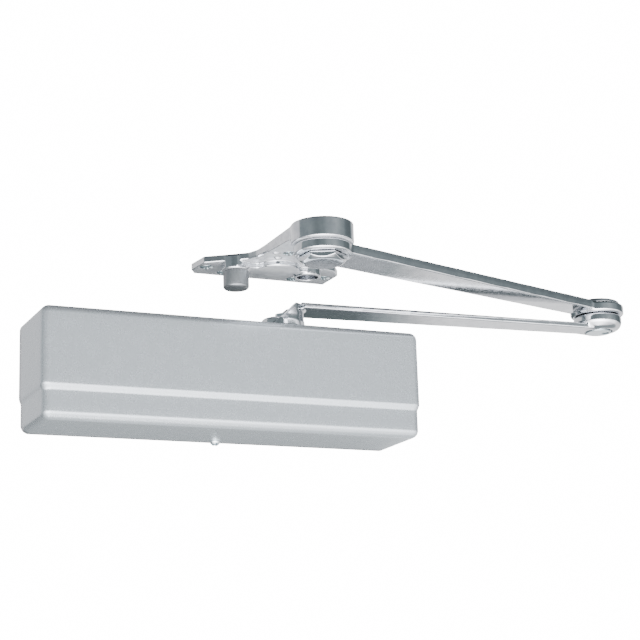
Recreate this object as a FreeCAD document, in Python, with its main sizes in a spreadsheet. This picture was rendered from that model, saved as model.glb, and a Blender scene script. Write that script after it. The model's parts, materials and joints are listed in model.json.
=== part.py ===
import FreeCAD, Part
import math
import os
import re
import Sketcher
from FreeCAD import Placement, Rotation, Vector

# Overhead door closer with a double lever arm and a stop bracket under the frame.
# Frame: origin at the centre of the four body screws, on the door's face; +X along the door
# towards the elbow, +Y into the door, +Z up. The arms lie as they do with the door shut.

SIZES = {
    # cover
    "cover_long": (321.0, "cover, end to end"),
    "cover_deep": (68.0, "cover, door face to front"),
    "cover_tall": (89.0, "cover, bottom to top"),
    "cover_wall": (1.8, "cover wall"),
    "cover_corner": (7.0, "rounding of the four long corners and the upright front corners"),
    "cover_edge": (5.5, "rounding of the front face's edges"),
    "cover_inside": (3.5, "rounding inside the cover's front edges"),
    "cover_room": (0.3, "room between the cover and the casting's lugs"),
    "band_low": (21.8, "lower end of the front step's slope, above the cover's bottom"),
    "band_high": (28.0, "upper end of the slope"),
    "band_step": (1.5, "how far the upper part of the cover stands out over the lower part"),
    "notch_radius": (19.5, "spindle notch in the cover's top"),
    "cover_screw_out": (9.0, "cover screw, from the door face"),
    "cover_screw_radius": (2.0, "cover screw shank"),
    "cover_screw_head": (4.3, "cover screw head, radius"),
    "cover_screw_dome": (4.2, "cover screw head, height"),
    "cover_screw_flat": (2.2, "flat on the cover screw's head, radius"),
    "cover_screw_rim": (1.9, "rim of the cover screw's head, height"),
    "screw_play": (0.4, "room round a screw in its hole"),
    "clip_wide": (24.0, "cover clip, along the door"),
    "clip_thick": (2.0, "cover clip sheet"),
    "clip_back": (2.0, "cover clip, from the door face"),
    "clip_reach": (4.0, "cover clip, in front of the screw's head"),
    "clip_foot": (14.0, "foot of the clip under the casting"),
    "clip_room": (0.1, "room between the clip and the cover"),
    # casting
    "spindle_right": (52.2, "spindle axis, right of the origin"),
    "spindle_out": (33.0, "spindle axis and bore axis, out from the door face"),
    "bore_radius": (22.0, "cylinder bore"),
    "casting_long": (276.0, "cylinder casting, end to end"),
    "casting_front": (7.0, "casting wall in front of the bore"),
    "casting_side": (8.0, "casting wall above and below the bore"),
    "casting_corner": (10.0, "rounding of the casting's front corners"),
    "lug_tall": (44.0, "screw lugs, height"),
    "lug_corner": (4.0, "rounding of the screw lugs"),
    "hole_row": (304.8, "mounting holes, along the door"),
    "hole_rise": (19.05, "mounting holes, up and down"),
    "hole_radius": (3.5, "mounting holes"),
    "boss_radius": (19.0, "spindle bosses"),
    "boss_out": (7.0, "spindle bosses, above and below the casting"),
    # spindle, bearings and seals
    "shaft_radius": (8.0, "spindle shaft"),
    "running_gap": (0.05, "radial clearance of a running fit"),
    "bearing_radius": (14.2, "bearings, outside"),
    "bearing_tall": (8.0, "bearings, height"),
    "seal_tall": (3.0, "spindle seals, height"),
    "nut_radius": (16.5, "bearing nut flange"),
    "nut_flange": (3.5, "bearing nut flange, height"),
    "spindle_tail": (1.0, "spindle below the lower boss"),
    "drive_foot": (2.0, "round shaft above the upper bearing nut"),
    "pinion_shoulder": (2.0, "core above and below the pinion's teeth"),
    "tooth_module": (2.0, "rack and pinion module"),
    "tooth_count": (12.0, "pinion teeth"),
    "tooth_play": (0.5, "backlash along the pitch line"),
    "tooth_tip": (1.6, "tooth height above the pitch line"),
    "tooth_root": (2.1, "tooth depth below the pitch line"),
    "tooth_lean": (0.52, "how much half a pinion tooth narrows for each millimetre above the pitch line"),
    "tooth_foot": (0.2, "how much half a pinion tooth widens below the pitch line"),
    "rack_angle": (25.0, "pressure angle"),
    "pinion_tall": (18.0, "pinion face width"),
    "drive_half": (5.4, "half of the square drive"),
    # piston and spring
    "open_travel": (35.6, "piston travel when the door opens"),
    "shut_travel": (2.2, "piston travel past the shut door"),
    "piston_gap": (0.05, "radial clearance of the piston"),
    "piston_land": (16.0, "piston land at each end of the window"),
    "window_room": (1.0, "room at the ends of the window at full travel"),
    "plug_thick": (14.0, "end plugs inside the bore"),
    "plug_flange": (3.0, "end plug flange"),
    "plug_rim": (0.8, "end plug flange beyond the bore"),
    "plug_room": (0.2, "room between a plug's flange and the screw lugs"),
    "ring_wire": (1.3, "end plug sealing rings, section radius"),
    "spring_wire": (3.0, "closing spring wire, radius"),
    "spring_mean": (17.0, "closing spring, mean radius"),
    "spring_turns": (7.0, "closing spring turns"),
    "seat_thick": (8.0, "spring seat on the power screw"),
    "seat_room": (20.0, "spring seat to the end plug"),
    "seat_gap": (1.0, "room between the spring seat and the bore"),
    "seat_land": (4.0, "flange of the spring seat"),
    "spring_play": (0.4, "room between the spring seat's spigot and the wire"),
    "power_radius": (4.0, "power adjusting screw"),
    "power_tail": (12.0, "power adjusting screw beyond the spring seat"),
    "power_head": (6.0, "power adjusting screw head, radius"),
    "power_head_tall": (3.0, "power adjusting screw head, height"),
    "power_socket": (3.0, "half of the power adjusting screw's hexagon socket"),
    "power_floor": (0.8, "floor of that socket above the plug"),
    "ball_radius": (2.5, "check ball"),
    "ball_room": (0.2, "room round the check ball"),
    "valve_radius": (3.5, "regulating valves"),
    "valve_deep": (11.0, "regulating valves, depth in the casting"),
    "valve_drop": (24.0, "regulating valves, below the bore axis"),
    "valve_step": (24.0, "regulating valves, one to the next"),
    "valve_first": (76.0, "first regulating valve, right of the origin"),
    "valve_gap": (0.5, "regulating valve's tip to the hole's floor"),
    "valve_tip": (1.0, "regulating valve's tip, radius"),
    "valve_neck": (1.8, "regulating valve's neck, radius"),
    "valve_cone": (2.4, "regulating valve's cone, length"),
    "valve_ring_tall": (2.0, "regulating valve's sealing ring, length"),
    "valve_sunk": (0.6, "regulating valve's head below the casting's face"),
    "valve_slot": (0.5, "half of the slot in a regulating valve's head"),
    "valve_slot_deep": (1.4, "slot in a regulating valve's head, depth"),
    # main arm
    "arm_span": (297.8, "main arm, spindle to elbow"),
    "arm_turn": (-3.46, "main arm direction with the door shut, degrees"),
    "arm_lift": (18.0, "underside of the main arm above the cover"),
    "arm_thick": (6.5, "main arm bar, at its crown"),
    "arm_side": (4.0, "main arm bar, at its sides"),
    "arm_crown": (7.0, "width of the slope beside the crown"),
    "arm_wide": (33.0, "main arm bar at the spindle"),
    "arm_slim": (23.4, "main arm bar at the elbow"),
    "hub_radius": (17.6, "spindle hub"),
    "hub_tall": (8.5, "spindle hub, height"),
    "hub_round": (2.5, "rounding of the hub's rim"),
    "neck_foot": (-5.5, "foot of the neck's slope, along the arm from the spindle"),
    "neck_round": (3.0, "rounding at the foot of the neck's slope"),
    "hub_recess": (9.7, "recess for the arm screw's washer, radius"),
    "arm_screw_radius": (4.0, "arm screw"),
    "arm_screw_long": (11.0, "arm screw, in the spindle"),
    "arm_screw_head": (6.0, "arm screw head, radius"),
    "arm_screw_cap": (4.0, "arm screw head, height"),
    "arm_socket": (2.5, "half of the arm screw's hexagon socket"),
    "arm_socket_deep": (3.0, "arm screw's socket, depth"),
    "arm_washer_radius": (8.8, "washer under the arm screw"),
    "arm_washer_thick": (1.5, "washer under the arm screw"),
    "hub_drop": (8.0, "hub top below the bar's underside"),
    "knuckle_radius": (21.0, "main arm knuckle at the elbow"),
    "knuckle_tall": (13.2, "main arm knuckle, height"),
    "knuckle_round": (7.5, "lower rounding of the main arm knuckle"),
    "knuckle_bevel": (2.5, "upper rounding of the main arm knuckle"),
    "pin_radius": (8.0, "elbow pin"),
    "pin_head": (11.5, "elbow pin head, radius"),
    "pin_head_thick": (1.3, "elbow pin head"),
    "pin_chamfer": (0.6, "chamfer of the elbow pin's head"),
    "pin_sunk": (0.8, "top of the elbow pin below the cap's top"),
    "bush_wall": (2.5, "arm bushes"),
    "float_gap": (0.4, "room between pieces that turn on each other"),
    # forearm
    "fore_span": (322.4, "forearm, bracket pivot to elbow"),
    "fore_turn": (16.58, "forearm direction with the door shut, degrees"),
    "fore_lift": (2.4, "forearm bar above its elbow knuckle's underside"),
    "fore_thick": (8.0, "forearm bar"),
    "fore_bevel": (1.4, "forged bevel of the forearm's sides"),
    "fore_wide": (36.0, "forearm bar at the bracket"),
    "fore_slim": (26.0, "forearm bar at the elbow"),
    "fore_knuckle": (23.4, "forearm knuckle at the elbow"),
    "fore_knuckle_tall": (9.1, "forearm knuckle at the elbow, height"),
    "fore_eye": (22.7, "forearm eye at the bracket"),
    "fore_eye_proud": (0.5, "forearm eye at the bracket, above the bar"),
    "elbow_cap_radius": (20.0, "elbow cap"),
    "elbow_cap_tall": (4.5, "elbow cap"),
    "elbow_cap_rim": (2.5, "elbow cap's upright rim"),
    "elbow_cap_bevel": (3.0, "bevel of the elbow cap"),
    "elbow_cap_room": (1.5, "room round the elbow cap where it sinks into the forearm's bar"),
    # bracket
    "stud_radius": (8.0, "bracket stud"),
    "cap_flats": (33.3, "cap nut across its flats"),
    "cap_face": (15.4, "cap nut flat face, radius"),
    "cap_tall": (6.0, "cap nut, height"),
    "cap_bevel": (2.4, "cap nut bevel, height"),
    "cap_floor": (2.5, "cap nut below its stud"),
    "cap_turn": (-24.7, "direction of the cap nut's corners, degrees"),
    "washer_radius": (21.5, "washer between the forearm and the bracket, radius"),
    "washer_thick": (0.5, "washer between the forearm and the bracket, with its gap"),
    "washer_gap": (0.1, "room between that washer and the forearm"),
    "bracket_boss": (24.5, "bracket boss at the pivot"),
    "bracket_boss_tall": (16.0, "bracket boss, height"),
    "web_half": (22.0, "half of the bracket's leg"),
    "rib_wide": (4.0, "ribs along the bracket's leg"),
    "plate_thick": (6.0, "bracket plate"),
    "plate_half": (61.5, "half of the bracket plate, along the door"),
    "plate_back": (139.5, "back edge of the plate, from the pivot"),
    "plate_front": (107.0, "front edge of the plate at its ends, from the pivot"),
    "rib_end": (82.0, "far end of the ribs, from the pivot"),
    "wing_root": (70.0, "where the wings leave the leg, from the pivot"),
    "wing_root_round": (8.0, "rounding where the wings leave the leg"),
    "wing_bend": (20.0, "bend of a wing's front edge, beside the leg"),
    "wing_bend_ahead": (8.0, "the same bend, ahead of the wing's tip"),
    "wing_bend_round": (16.0, "rounding of that bend"),
    "wing_tip_in": (5.0, "front corner of a wing's end, in from its side"),
    "wing_side": (14.0, "wing's end, front corner to widest point"),
    "wing_back_in": (6.0, "back corner of a wing, in from its side"),
    "wing_tip_round": (3.0, "rounding of a wing's corners"),
    "pad_drop": (11.0, "stop pad, below the bracket's top"),
    "stop_side": (32.0, "stop positions, beside the middle"),
    "stop_reach": (102.0, "stop positions, from the pivot"),
    "stop_hole": (9.0, "stop holes"),
    "stop_boss": (11.4, "bosses round the stop holes"),
    "stop_rim": (1.4, "bosses below the stop pad"),
    "stop_hole_deep": (9.0, "stop holes, above the stop pad's face"),
    "pad_point": (25.0, "stop pad's point under the leg, ahead of the stops"),
    "pad_point_round": (14.0, "rounding of that point"),
    "pad_shoulder": (12.0, "stop pad's shoulder, ahead of the stops and in from them"),
    "pad_corner": (4.0, "rounding of the pad's shoulder"),
    "pad_half": (8.0, "half of the pad's width at the stops"),
    "stud_roof": (4.0, "bracket above the end of its stud"),
    "bumper_radius": (10.6, "stop bumper"),
    "bumper_tall": (16.2, "stop bumper, below the pad"),
    "bumper_gap": (0.3, "room between the bumper and its boss"),
    "bumper_bevel": (2.0, "bevel of the bumper's lower edge"),
    "bumper_floor": (4.0, "bumper below its post"),
    "post_radius": (5.0, "core of the stop bumper"),
    "post_gap": (0.05, "room between the stop post and its hole"),
    "screw_side": (53.0, "outer frame screws, beside the middle"),
    "screw_back": (120.0, "outer frame screws, from the pivot"),
    "rear_screw_back": (129.5, "rear frame screws, from the pivot"),
    "leg_screw_back": (62.0, "leg screw, from the pivot"),
    "screw_head": (5.6, "frame screw heads, radius"),
    "screw_radius": (2.8, "frame screw shanks"),
    # how features are cut and joined
    "over_cut": (5.0, "how far a cut runs past the face that it opens"),
    "root_depth": (1.0, "how deep a raised part runs into what it stands on"),
}

# Places that follow from the driving sizes.
DERIVED = {
    "cover_top": "cover_tall / 2",
    "bore_wall": "bore_radius + casting_side",
    "boss_end": "bore_wall + boss_out",
    "pitch_radius": "tooth_module * tooth_count / 2",
    "bearing_low": "boss_end - seal_tall - nut_flange - bearing_tall",
    "seal_low": "bearing_low + bearing_tall",
    "nut_low": "seal_low + seal_tall",
    "plug_inner": "casting_long / 2 - plug_thick",
    "window_left": "spindle_right - pitch_radius - tooth_tip - shut_travel - window_room",
    "window_right": "spindle_right + pitch_radius + tooth_tip + open_travel + window_room",
    "piston_left": "window_left - piston_land",
    "piston_right": "window_right + piston_land",
    "seat_left": "-plug_inner + seat_room",
    "arm_level": "cover_top + arm_lift",
    "hub_top": "arm_level - hub_drop",
    "elbow_x": "spindle_right + arm_span * cos(arm_turn * 1deg)",
    "elbow_y": "-spindle_out + arm_span * sin(arm_turn * 1deg)",
    "pivot_x": "elbow_x - fore_span * cos(fore_turn * 1deg)",
    "pivot_y": "elbow_y - fore_span * sin(fore_turn * 1deg)",
    "fore_level": "arm_level + knuckle_tall + float_gap + fore_lift",
    "fore_knuckle_top": "fore_level - fore_lift + fore_knuckle_tall",
    "fore_eye_tall": "fore_thick + fore_eye_proud",
    "eye_top": "fore_level + fore_eye_tall",
    "boss_low": "eye_top + washer_thick",
    "bracket_top": "boss_low + bracket_boss_tall",
    "cap_level": "fore_level - float_gap",
    "lug_half": "cover_long / 2 - band_step - cover_wall - cover_room",
    "lug_thick": "spindle_out - bore_radius - plug_rim - plug_room",
    "casting_face": "spindle_out + bore_radius + casting_front",
    "bumper_deep": "bumper_tall + bumper_gap",
    "cone_tall": "screw_head - screw_radius",
}

SCREW_PLACES = [("-screw_side", "screw_back"), ("screw_side", "screw_back"),
                ("-stop_side", "rear_screw_back"), ("stop_side", "rear_screw_back"), ("0", "leg_screw_back")]
ORIGIN = Vector(0, 0, 0)
UP = Vector(0, 0, 1)
ALONG = Vector(1, 0, 0)
DOORWARD = Vector(0, 1, 0)
CLOSE = 1e-3

doc = FreeCAD.newDocument("door_closer")
sheet = doc.addObject("Spreadsheet::Sheet", "Sizes")
nodes = []


def fill_sheet():
    """Write each driving size into the sheet, with its meaning beside it."""
    for row, (alias, (number, meaning)) in enumerate(SIZES.items(), 1):
        sheet.set(f"A{row}", meaning)
        sheet.set(f"B{row}", str(number))
        sheet.setAlias(f"B{row}", alias)
    doc.recompute()


def on_sheet(expression):
    """Spell out derived places and put the sheet's name before each alias."""

    def spell(match):
        word = match.group()
        if word in DERIVED:
            return "(" + on_sheet(DERIVED[word]) + ")"
        return "Sizes." + word if word in SIZES else word

    return re.sub(r"[a-z][a-z_]*", spell, str(expression))


def value(expression):
    """The number that an expression gives with the present sizes."""
    return float(sheet.evalExpression(on_sheet(expression)))


def place(node, x=0, y=0, z=0, axis=UP, turn=0):
    """Put a node at a place given by expressions, turned about one axis."""
    node.Placement = Placement(ORIGIN, Rotation(axis, value(turn)))
    for letter, expression in zip("xyz", (x, y, z)):
        node.setExpression(f".Placement.Base.{letter}", on_sheet(expression))
    if turn:
        node.setExpression(".Placement.Rotation.Angle", on_sheet(f"({turn}) * 1deg"))


def new_body(label):
    """One piece made with sketches and features."""
    body = doc.addObject("PartDesign::Body", label)
    body.Label = label
    nodes.append(body)
    return body


def new_sketch(body, role, offset=0):
    """Sketch on one of the body's own origin planes, moved along the plane's normal."""
    sketch = body.newObject("Sketcher::SketchObject", body.Name + "_sketch")
    plane = [item for item in body.Origin.OriginFeatures if item.Role == role][0]
    sketch.AttachmentSupport = (plane, [""])
    sketch.MapMode = "FlatFace"
    if offset:
        sketch.setExpression(".AttachmentOffset.Base.z", on_sheet(offset))
    return sketch


def bind(sketch, kind, *where, size):
    """Add one dimension to a sketch and bind it to the sheet."""
    index = sketch.addConstraint(Sketcher.Constraint(kind, *where, value(size)))
    name = f"size{index}"
    sketch.renameConstraint(index, name)
    sketch.setExpression(f"Constraints.{name}", on_sheet(size))


def add_circle(sketch, x, y, radius):
    """Circle whose centre and radius are expressions."""
    centre = Vector(value(x), value(y), 0)
    shape = sketch.addGeometry(Part.Circle(centre, UP, value(radius)), False)
    bind(sketch, "DistanceX", -1, 1, shape, 3, size=x)
    bind(sketch, "DistanceY", -1, 1, shape, 3, size=y)
    bind(sketch, "Radius", shape, size=radius)


def add_outline(sketch, corners):
    """Closed outline. Each corner is (x, y) or (x, y, rounding), all expressions."""
    points = [Vector(value(corner[0]), value(corner[1]), 0) for corner in corners]
    rounds = [value(corner[2]) if len(corner) > 2 else 0.0 for corner in corners]
    count = len(points)
    setback, turns = [], []
    for here in range(count):
        before = points[here] - points[here - 1]
        after = points[(here + 1) % count] - points[here]
        turns.append(before.x * after.y - before.y * after.x)
        setback.append(rounds[here] * math.tan(before.getAngle(after) / 2))
    lines = []
    for here in range(count):
        after = (here + 1) % count
        way = (points[after] - points[here]).normalize()
        start = points[here] + way * setback[here]
        end = points[after] - way * setback[after]
        lines.append(sketch.addGeometry(Part.LineSegment(start, end), False))
    for here in range(count):
        before, after = lines[here - 1], lines[here]
        if not rounds[here]:
            sketch.addConstraint(Sketcher.Constraint("Coincident", before, 2, after, 1))
            bind(sketch, "DistanceX", -1, 1, after, 1, size=corners[here][0])
            bind(sketch, "DistanceY", -1, 1, after, 1, size=corners[here][1])
            continue
        arrive = sketch.Geometry[before].EndPoint
        leave = sketch.Geometry[after].StartPoint
        inward = (arrive + leave) * 0.5 - points[here]
        middle = points[here] + inward.normalize() * rounds[here] * (
            1 / math.cos(math.atan(setback[here] / rounds[here])) - 1)
        arc = sketch.addGeometry(Part.Arc(arrive, middle, leave), False)
        first, second = (1, 2) if turns[here] > 0 else (2, 1)
        mark = sketch.addGeometry(Part.Point(points[here]), True)
        bind(sketch, "DistanceX", -1, 1, mark, 1, size=corners[here][0])
        bind(sketch, "DistanceY", -1, 1, mark, 1, size=corners[here][1])
        sketch.addConstraint(Sketcher.Constraint("PointOnObject", mark, 1, before))
        sketch.addConstraint(Sketcher.Constraint("PointOnObject", mark, 1, after))
        sketch.addConstraint(Sketcher.Constraint("Tangent", before, 2, arc, first))
        sketch.addConstraint(Sketcher.Constraint("Tangent", after, 1, arc, second))
        bind(sketch, "Radius", arc, size=corners[here][2])


def mirrored(corners):
    """Outline symmetric about the sketch's upright axis, from its right half, bottom to top."""
    left = [(f"-({corner[0]})",) + tuple(corner[1:]) for corner in reversed(corners)]
    return corners + left


def extrude(body, sketch, length, kind="Pad", both=False, taper=0):
    """Pad or pocket of a given length, both along the sketch's normal."""
    feature = body.newObject("PartDesign::" + kind, body.Name + "_" + kind.lower())
    feature.Profile = (sketch, [""])
    feature.setExpression("Length", on_sheet(length))
    if both:
        feature.SideType = "Symmetric"
    feature.Reversed = kind == "Pocket"
    feature.TaperAngle = taper
    doc.recompute()
    return feature


def slab(body, corners, low, high, role="XY_Plane", kind="Pad"):
    """Outline padded or cut between two levels along the plane's normal."""
    sketch = new_sketch(body, role, low)
    add_outline(sketch, corners)
    return extrude(body, sketch, f"({high}) - ({low})", kind)


def disc(body, x, y, radius, low, high, role="XY_Plane", kind="Pad", taper=0):
    """Round slab, or cone, between two levels along the plane's normal."""
    sketch = new_sketch(body, role, low)
    add_circle(sketch, x, y, radius)
    return extrude(body, sketch, f"({high}) - ({low})", kind, taper=taper)


def square(turn):
    """Corners of the square drive, turned by an angle in degrees."""
    reach = "drive_half * sqrt(2)"
    angles = [f"({45 + 90 * quarter} + {turn}) * 1deg" for quarter in range(4)]
    return [(f"{reach} * cos({angle})", f"{reach} * sin({angle})") for angle in angles]


def turn_profile(body, corners, kind="Revolution"):
    """Turn an outline of (radius, height) corners about the body's upright axis."""
    sketch = new_sketch(body, "XZ_Plane")
    add_outline(sketch, corners)
    feature = body.newObject("PartDesign::" + kind, body.Name + "_" + kind.lower())
    feature.Profile = (sketch, [""])
    feature.ReferenceAxis = (sketch, ["V_Axis"])
    feature.Angle = 360
    doc.recompute()
    return feature


def turned(label, corners):
    """A whole piece turned from one outline."""
    body = new_body(label)
    turn_profile(body, corners)
    return body


def ring(label, inner, outer, low, high):
    """Plain ring between two heights."""
    return turned(label, [(inner, low), (outer, low), (outer, high), (inner, high)])


def soften(body, feature, radius, choose, kind="Fillet"):
    """Fillet or chamfer the edges that the test picks."""
    names = [f"Edge{number}" for number, edge in enumerate(feature.Shape.Edges, 1) if choose(edge)]
    blend = body.newObject("PartDesign::" + kind, body.Name + "_" + kind.lower())
    blend.Base = (feature, names)
    blend.setExpression("Radius" if kind == "Fillet" else "Size", on_sheet(radius))
    doc.recompute()
    return blend


def loft(body, sections, kind="AdditiveLoft"):
    """Straight loft between two outlines on planes across the X axis."""
    sketches = []
    for where, corners in sections:
        sketches.append(new_sketch(body, "YZ_Plane", where))
        add_outline(sketches[-1], corners)
    feature = body.newObject("PartDesign::" + kind, body.Name + "_loft")
    feature.Profile = (sketches[0], [""])
    feature.Sections = [(item, [""]) for item in sketches[1:]]
    feature.Ruled = True
    doc.recompute()
    return feature


def lies_at(edge, level, axis=UP):
    """True for an edge that lies in the plane at a level along an axis."""
    return all(abs(vertex.Point.dot(axis) - level) < CLOSE for vertex in edge.Vertexes)


# ---------------------------------------------------------------- cover

def rounded_front(body, outline, depth, choose=lambda edge: True):
    """Block from an outline on the door face, with its front edges rounded."""
    sketch = new_sketch(body, "XZ_Plane")
    add_outline(sketch, outline)
    block = extrude(body, sketch, depth)
    front = -value(depth)
    return soften(body, block, "cover_edge",
                  lambda edge: lies_at(edge, front, DOORWARD) and choose(edge))


def make_cover():
    """Drawn shell, open at the back, with a shallow step round its lower part."""
    body = new_body("cover")
    half = "cover_long / 2 - band_step"
    rounded_front(body, [(f"-({half})", "-cover_top", "cover_corner"), (half, "-cover_top", "cover_corner"),
                         (half, "cover_top - root_depth", "cover_corner"),
                         (f"-({half})", "cover_top - root_depth", "cover_corner")],
                  "cover_deep - band_step")
    half = "cover_long / 2"
    ledge = "-cover_top + band_low"
    level = value(ledge)
    upper = rounded_front(body, [(f"-{half}", ledge), (half, ledge), (half, "cover_top", "cover_corner"),
                                 (f"-{half}", "cover_top", "cover_corner")],
                          "cover_deep", lambda edge: not lies_at(edge, level))
    slope = soften(body, upper, "band_step * 0.8",
                   lambda edge: lies_at(edge, level) and not lies_at(edge, 0, DOORWARD) and outermost(edge),
                   "Chamfer")
    slope.ChamferType = "Two distances"
    slope.setExpression("Size2", on_sheet("band_high - band_low"))
    doc.recompute()
    hollow = new_sketch(body, "XZ_Plane")
    side = "cover_long / 2 - band_step - cover_wall"
    rise = "cover_top - cover_wall"
    add_outline(hollow, [(f"-({side})", f"-({rise})", "cover_edge"), (side, f"-({rise})", "cover_edge"),
                         (side, rise, "cover_edge"), (f"-({side})", rise, "cover_edge")])
    inner = "cover_deep - cover_wall - band_step"
    cut = extrude(body, hollow, inner, "Pocket")
    soften(body, cut, "cover_inside", lambda edge: lies_at(edge, -value(inner), DOORWARD))
    notch = new_sketch(body, "XY_Plane", "cover_top - cover_wall * 2")
    corner = "notch_radius * 0.98"
    add_outline(notch, [("spindle_right - notch_radius", "-spindle_out - notch_radius", corner),
                        ("spindle_right + notch_radius", "-spindle_out - notch_radius", corner),
                        ("spindle_right + notch_radius", "cover_wall"),
                        ("spindle_right - notch_radius", "cover_wall")])
    extrude(body, notch, "cover_wall * 3", "Pocket")
    disc(body, 0, "-cover_screw_out", "cover_screw_radius + screw_play", "-cover_top - cover_wall",
         "-cover_top + cover_wall * 2", kind="Pocket")
    place(body)


def outermost(edge):
    """True for an edge of the ledge that runs round the upper part, not the lower part."""
    side = abs(edge.CenterOfMass.x) - value("cover_long / 2 - cover_edge")
    front = -edge.CenterOfMass.y - value("cover_deep - cover_edge")
    reach = max(abs(vertex.Point.x) for vertex in edge.Vertexes) - value("cover_long / 2 - band_step")
    depth = max(-vertex.Point.y for vertex in edge.Vertexes) - value("cover_deep - band_step")
    return (side > 0 or front > 0) and (reach > CLOSE or depth > CLOSE)


def make_cover_fixings():
    """Clip on the casting's underside and the screw that draws the cover onto it."""
    clip = new_body("cover_clip")
    low = "-cover_top + cover_wall + clip_room"
    front = "-cover_screw_out - cover_screw_head - clip_reach"
    profile = [("-clip_back", low), (front, low), (front, "-bore_wall - clip_thick"),
               (f"{front} - clip_foot", "-bore_wall - clip_thick"), (f"{front} - clip_foot", "-bore_wall"),
               (f"{front} + clip_thick", "-bore_wall"), (f"{front} + clip_thick", f"{low} + clip_thick"),
               ("-clip_back", f"{low} + clip_thick")]
    sketch = new_sketch(clip, "YZ_Plane")
    add_outline(sketch, profile)
    extrude(clip, sketch, "clip_wide", both=True)
    disc(clip, 0, "-cover_screw_out", "cover_screw_radius", "-cover_top", "-cover_top + cover_wall * 4",
         kind="Pocket")
    place(clip)
    turned("cover_screw", [(0, "-cover_screw_dome"), ("cover_screw_flat", "-cover_screw_dome"),
                           ("cover_screw_head", "-cover_screw_rim"), ("cover_screw_head", 0),
                           ("cover_screw_radius", 0), ("cover_screw_radius", "cover_wall * 3"),
                           (0, "cover_wall * 3")])
    place(nodes[-1], 0, "-cover_screw_out", "-cover_top")


# ---------------------------------------------------------------- casting

def make_casting():
    """Cylinder casting with its bore, spindle bosses, screw lugs and valve holes."""
    body = new_body("body_casting")
    block = new_sketch(body, "YZ_Plane")
    front = "-casting_face"
    add_outline(block, [(0, "-bore_wall"), (0, "bore_wall"), (front, "bore_wall", "casting_corner"),
                        (front, "-bore_wall", "casting_corner")])
    extrude(body, block, "casting_long", both=True)
    lugs = new_sketch(body, "XZ_Plane")
    rise = "lug_tall / 2"
    add_outline(lugs, [("-lug_half", f"-{rise}", "lug_corner"), ("lug_half", f"-{rise}", "lug_corner"),
                       ("lug_half", rise, "lug_corner"), ("-lug_half", rise, "lug_corner")])
    extrude(body, lugs, "lug_thick")
    disc(body, "spindle_right", "-spindle_out", "boss_radius", "-boss_end", "boss_end")
    disc(body, "-spindle_out", 0, "bore_radius", "-casting_long", "casting_long", "YZ_Plane", "Pocket")
    disc(body, "spindle_right", "-spindle_out", "bearing_radius", "-boss_end * 2", "boss_end * 2",
         kind="Pocket")
    holes = new_sketch(body, "XZ_Plane", "-lug_thick")
    for side in ("-", ""):
        for level in ("-", ""):
            add_circle(holes, f"{side}hole_row / 2", f"{level}hole_rise / 2", "hole_radius")
    extrude(body, holes, "lug_thick * 3", "Pocket")
    valves = new_sketch(body, "XZ_Plane", "casting_face - valve_deep")
    for number in range(3):
        add_circle(valves, f"valve_first + {number} * valve_step", "-valve_drop", "valve_radius")
    extrude(body, valves, "valve_deep * 2", "Pocket")
    place(body)


def make_end_plugs():
    """Threaded plugs that close the bore, each with a sealing ring in a groove."""
    for side, name in ((-1, "spring_end"), (1, "valve_end")):
        inner = "power_radius + running_gap" if side < 0 else "0"
        groove = "plug_thick / 2"
        profile = [(inner, 0), ("bore_radius", 0), ("bore_radius", f"{groove} - ring_wire"),
                   ("bore_radius - ring_wire * 2", f"{groove} - ring_wire"),
                   ("bore_radius - ring_wire * 2", f"{groove} + ring_wire"),
                   ("bore_radius", f"{groove} + ring_wire"), ("bore_radius", "plug_thick"),
                   ("bore_radius + plug_rim", "plug_thick"),
                   ("bore_radius + plug_rim", "plug_thick + plug_flange"),
                   (inner, "plug_thick + plug_flange")]
        turned(name + "_plug", profile)
        place(nodes[-1], f"{side} * plug_inner", "-spindle_out", 0, DOORWARD, 90 * side)
        seal = doc.addObject("Part::Torus", name + "_plug_ring")
        seal.Label = name + "_plug_ring"
        seal.setExpression("Radius1", on_sheet("bore_radius - ring_wire"))
        seal.setExpression("Radius2", on_sheet("ring_wire"))
        place(seal, f"{side} * (plug_inner + plug_thick / 2)", "-spindle_out", 0, DOORWARD, 90)
        nodes.append(seal)


def make_spindle_stack():
    """Bearing, seal and threaded nut above the bore, and the same below it."""
    inner = "shaft_radius + running_gap"
    for side, name in ((1, "upper"), (-1, "lower")):
        def level(expression):
            return f"{side} * ({expression})"
        for label, low, high in (("bearing", "bearing_low", "seal_low"), ("seal", "seal_low", "nut_low")):
            low, high = (level(low), level(high)) if side > 0 else (level(high), level(low))
            ring(f"{name}_{label}", inner, "bearing_radius", low, high)
            place(nodes[-1], "spindle_right", "-spindle_out")
        profile = [(inner, level("nut_low")), ("bearing_radius", level("nut_low")),
                   ("bearing_radius", level("boss_end")), ("nut_radius", level("boss_end")),
                   ("nut_radius", level("boss_end + nut_flange")), (inner, level("boss_end + nut_flange"))]
        turned(f"{name}_bearing_nut", profile)
        place(nodes[-1], "spindle_right", "-spindle_out")


def half_tooth(height):
    """Half of a rack tooth at a height above its pitch line, with its share of the backlash."""
    return f"(pi * tooth_module / 4 - tooth_play / 4 - ({height}) * tan(rack_angle * 1deg))"


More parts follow.
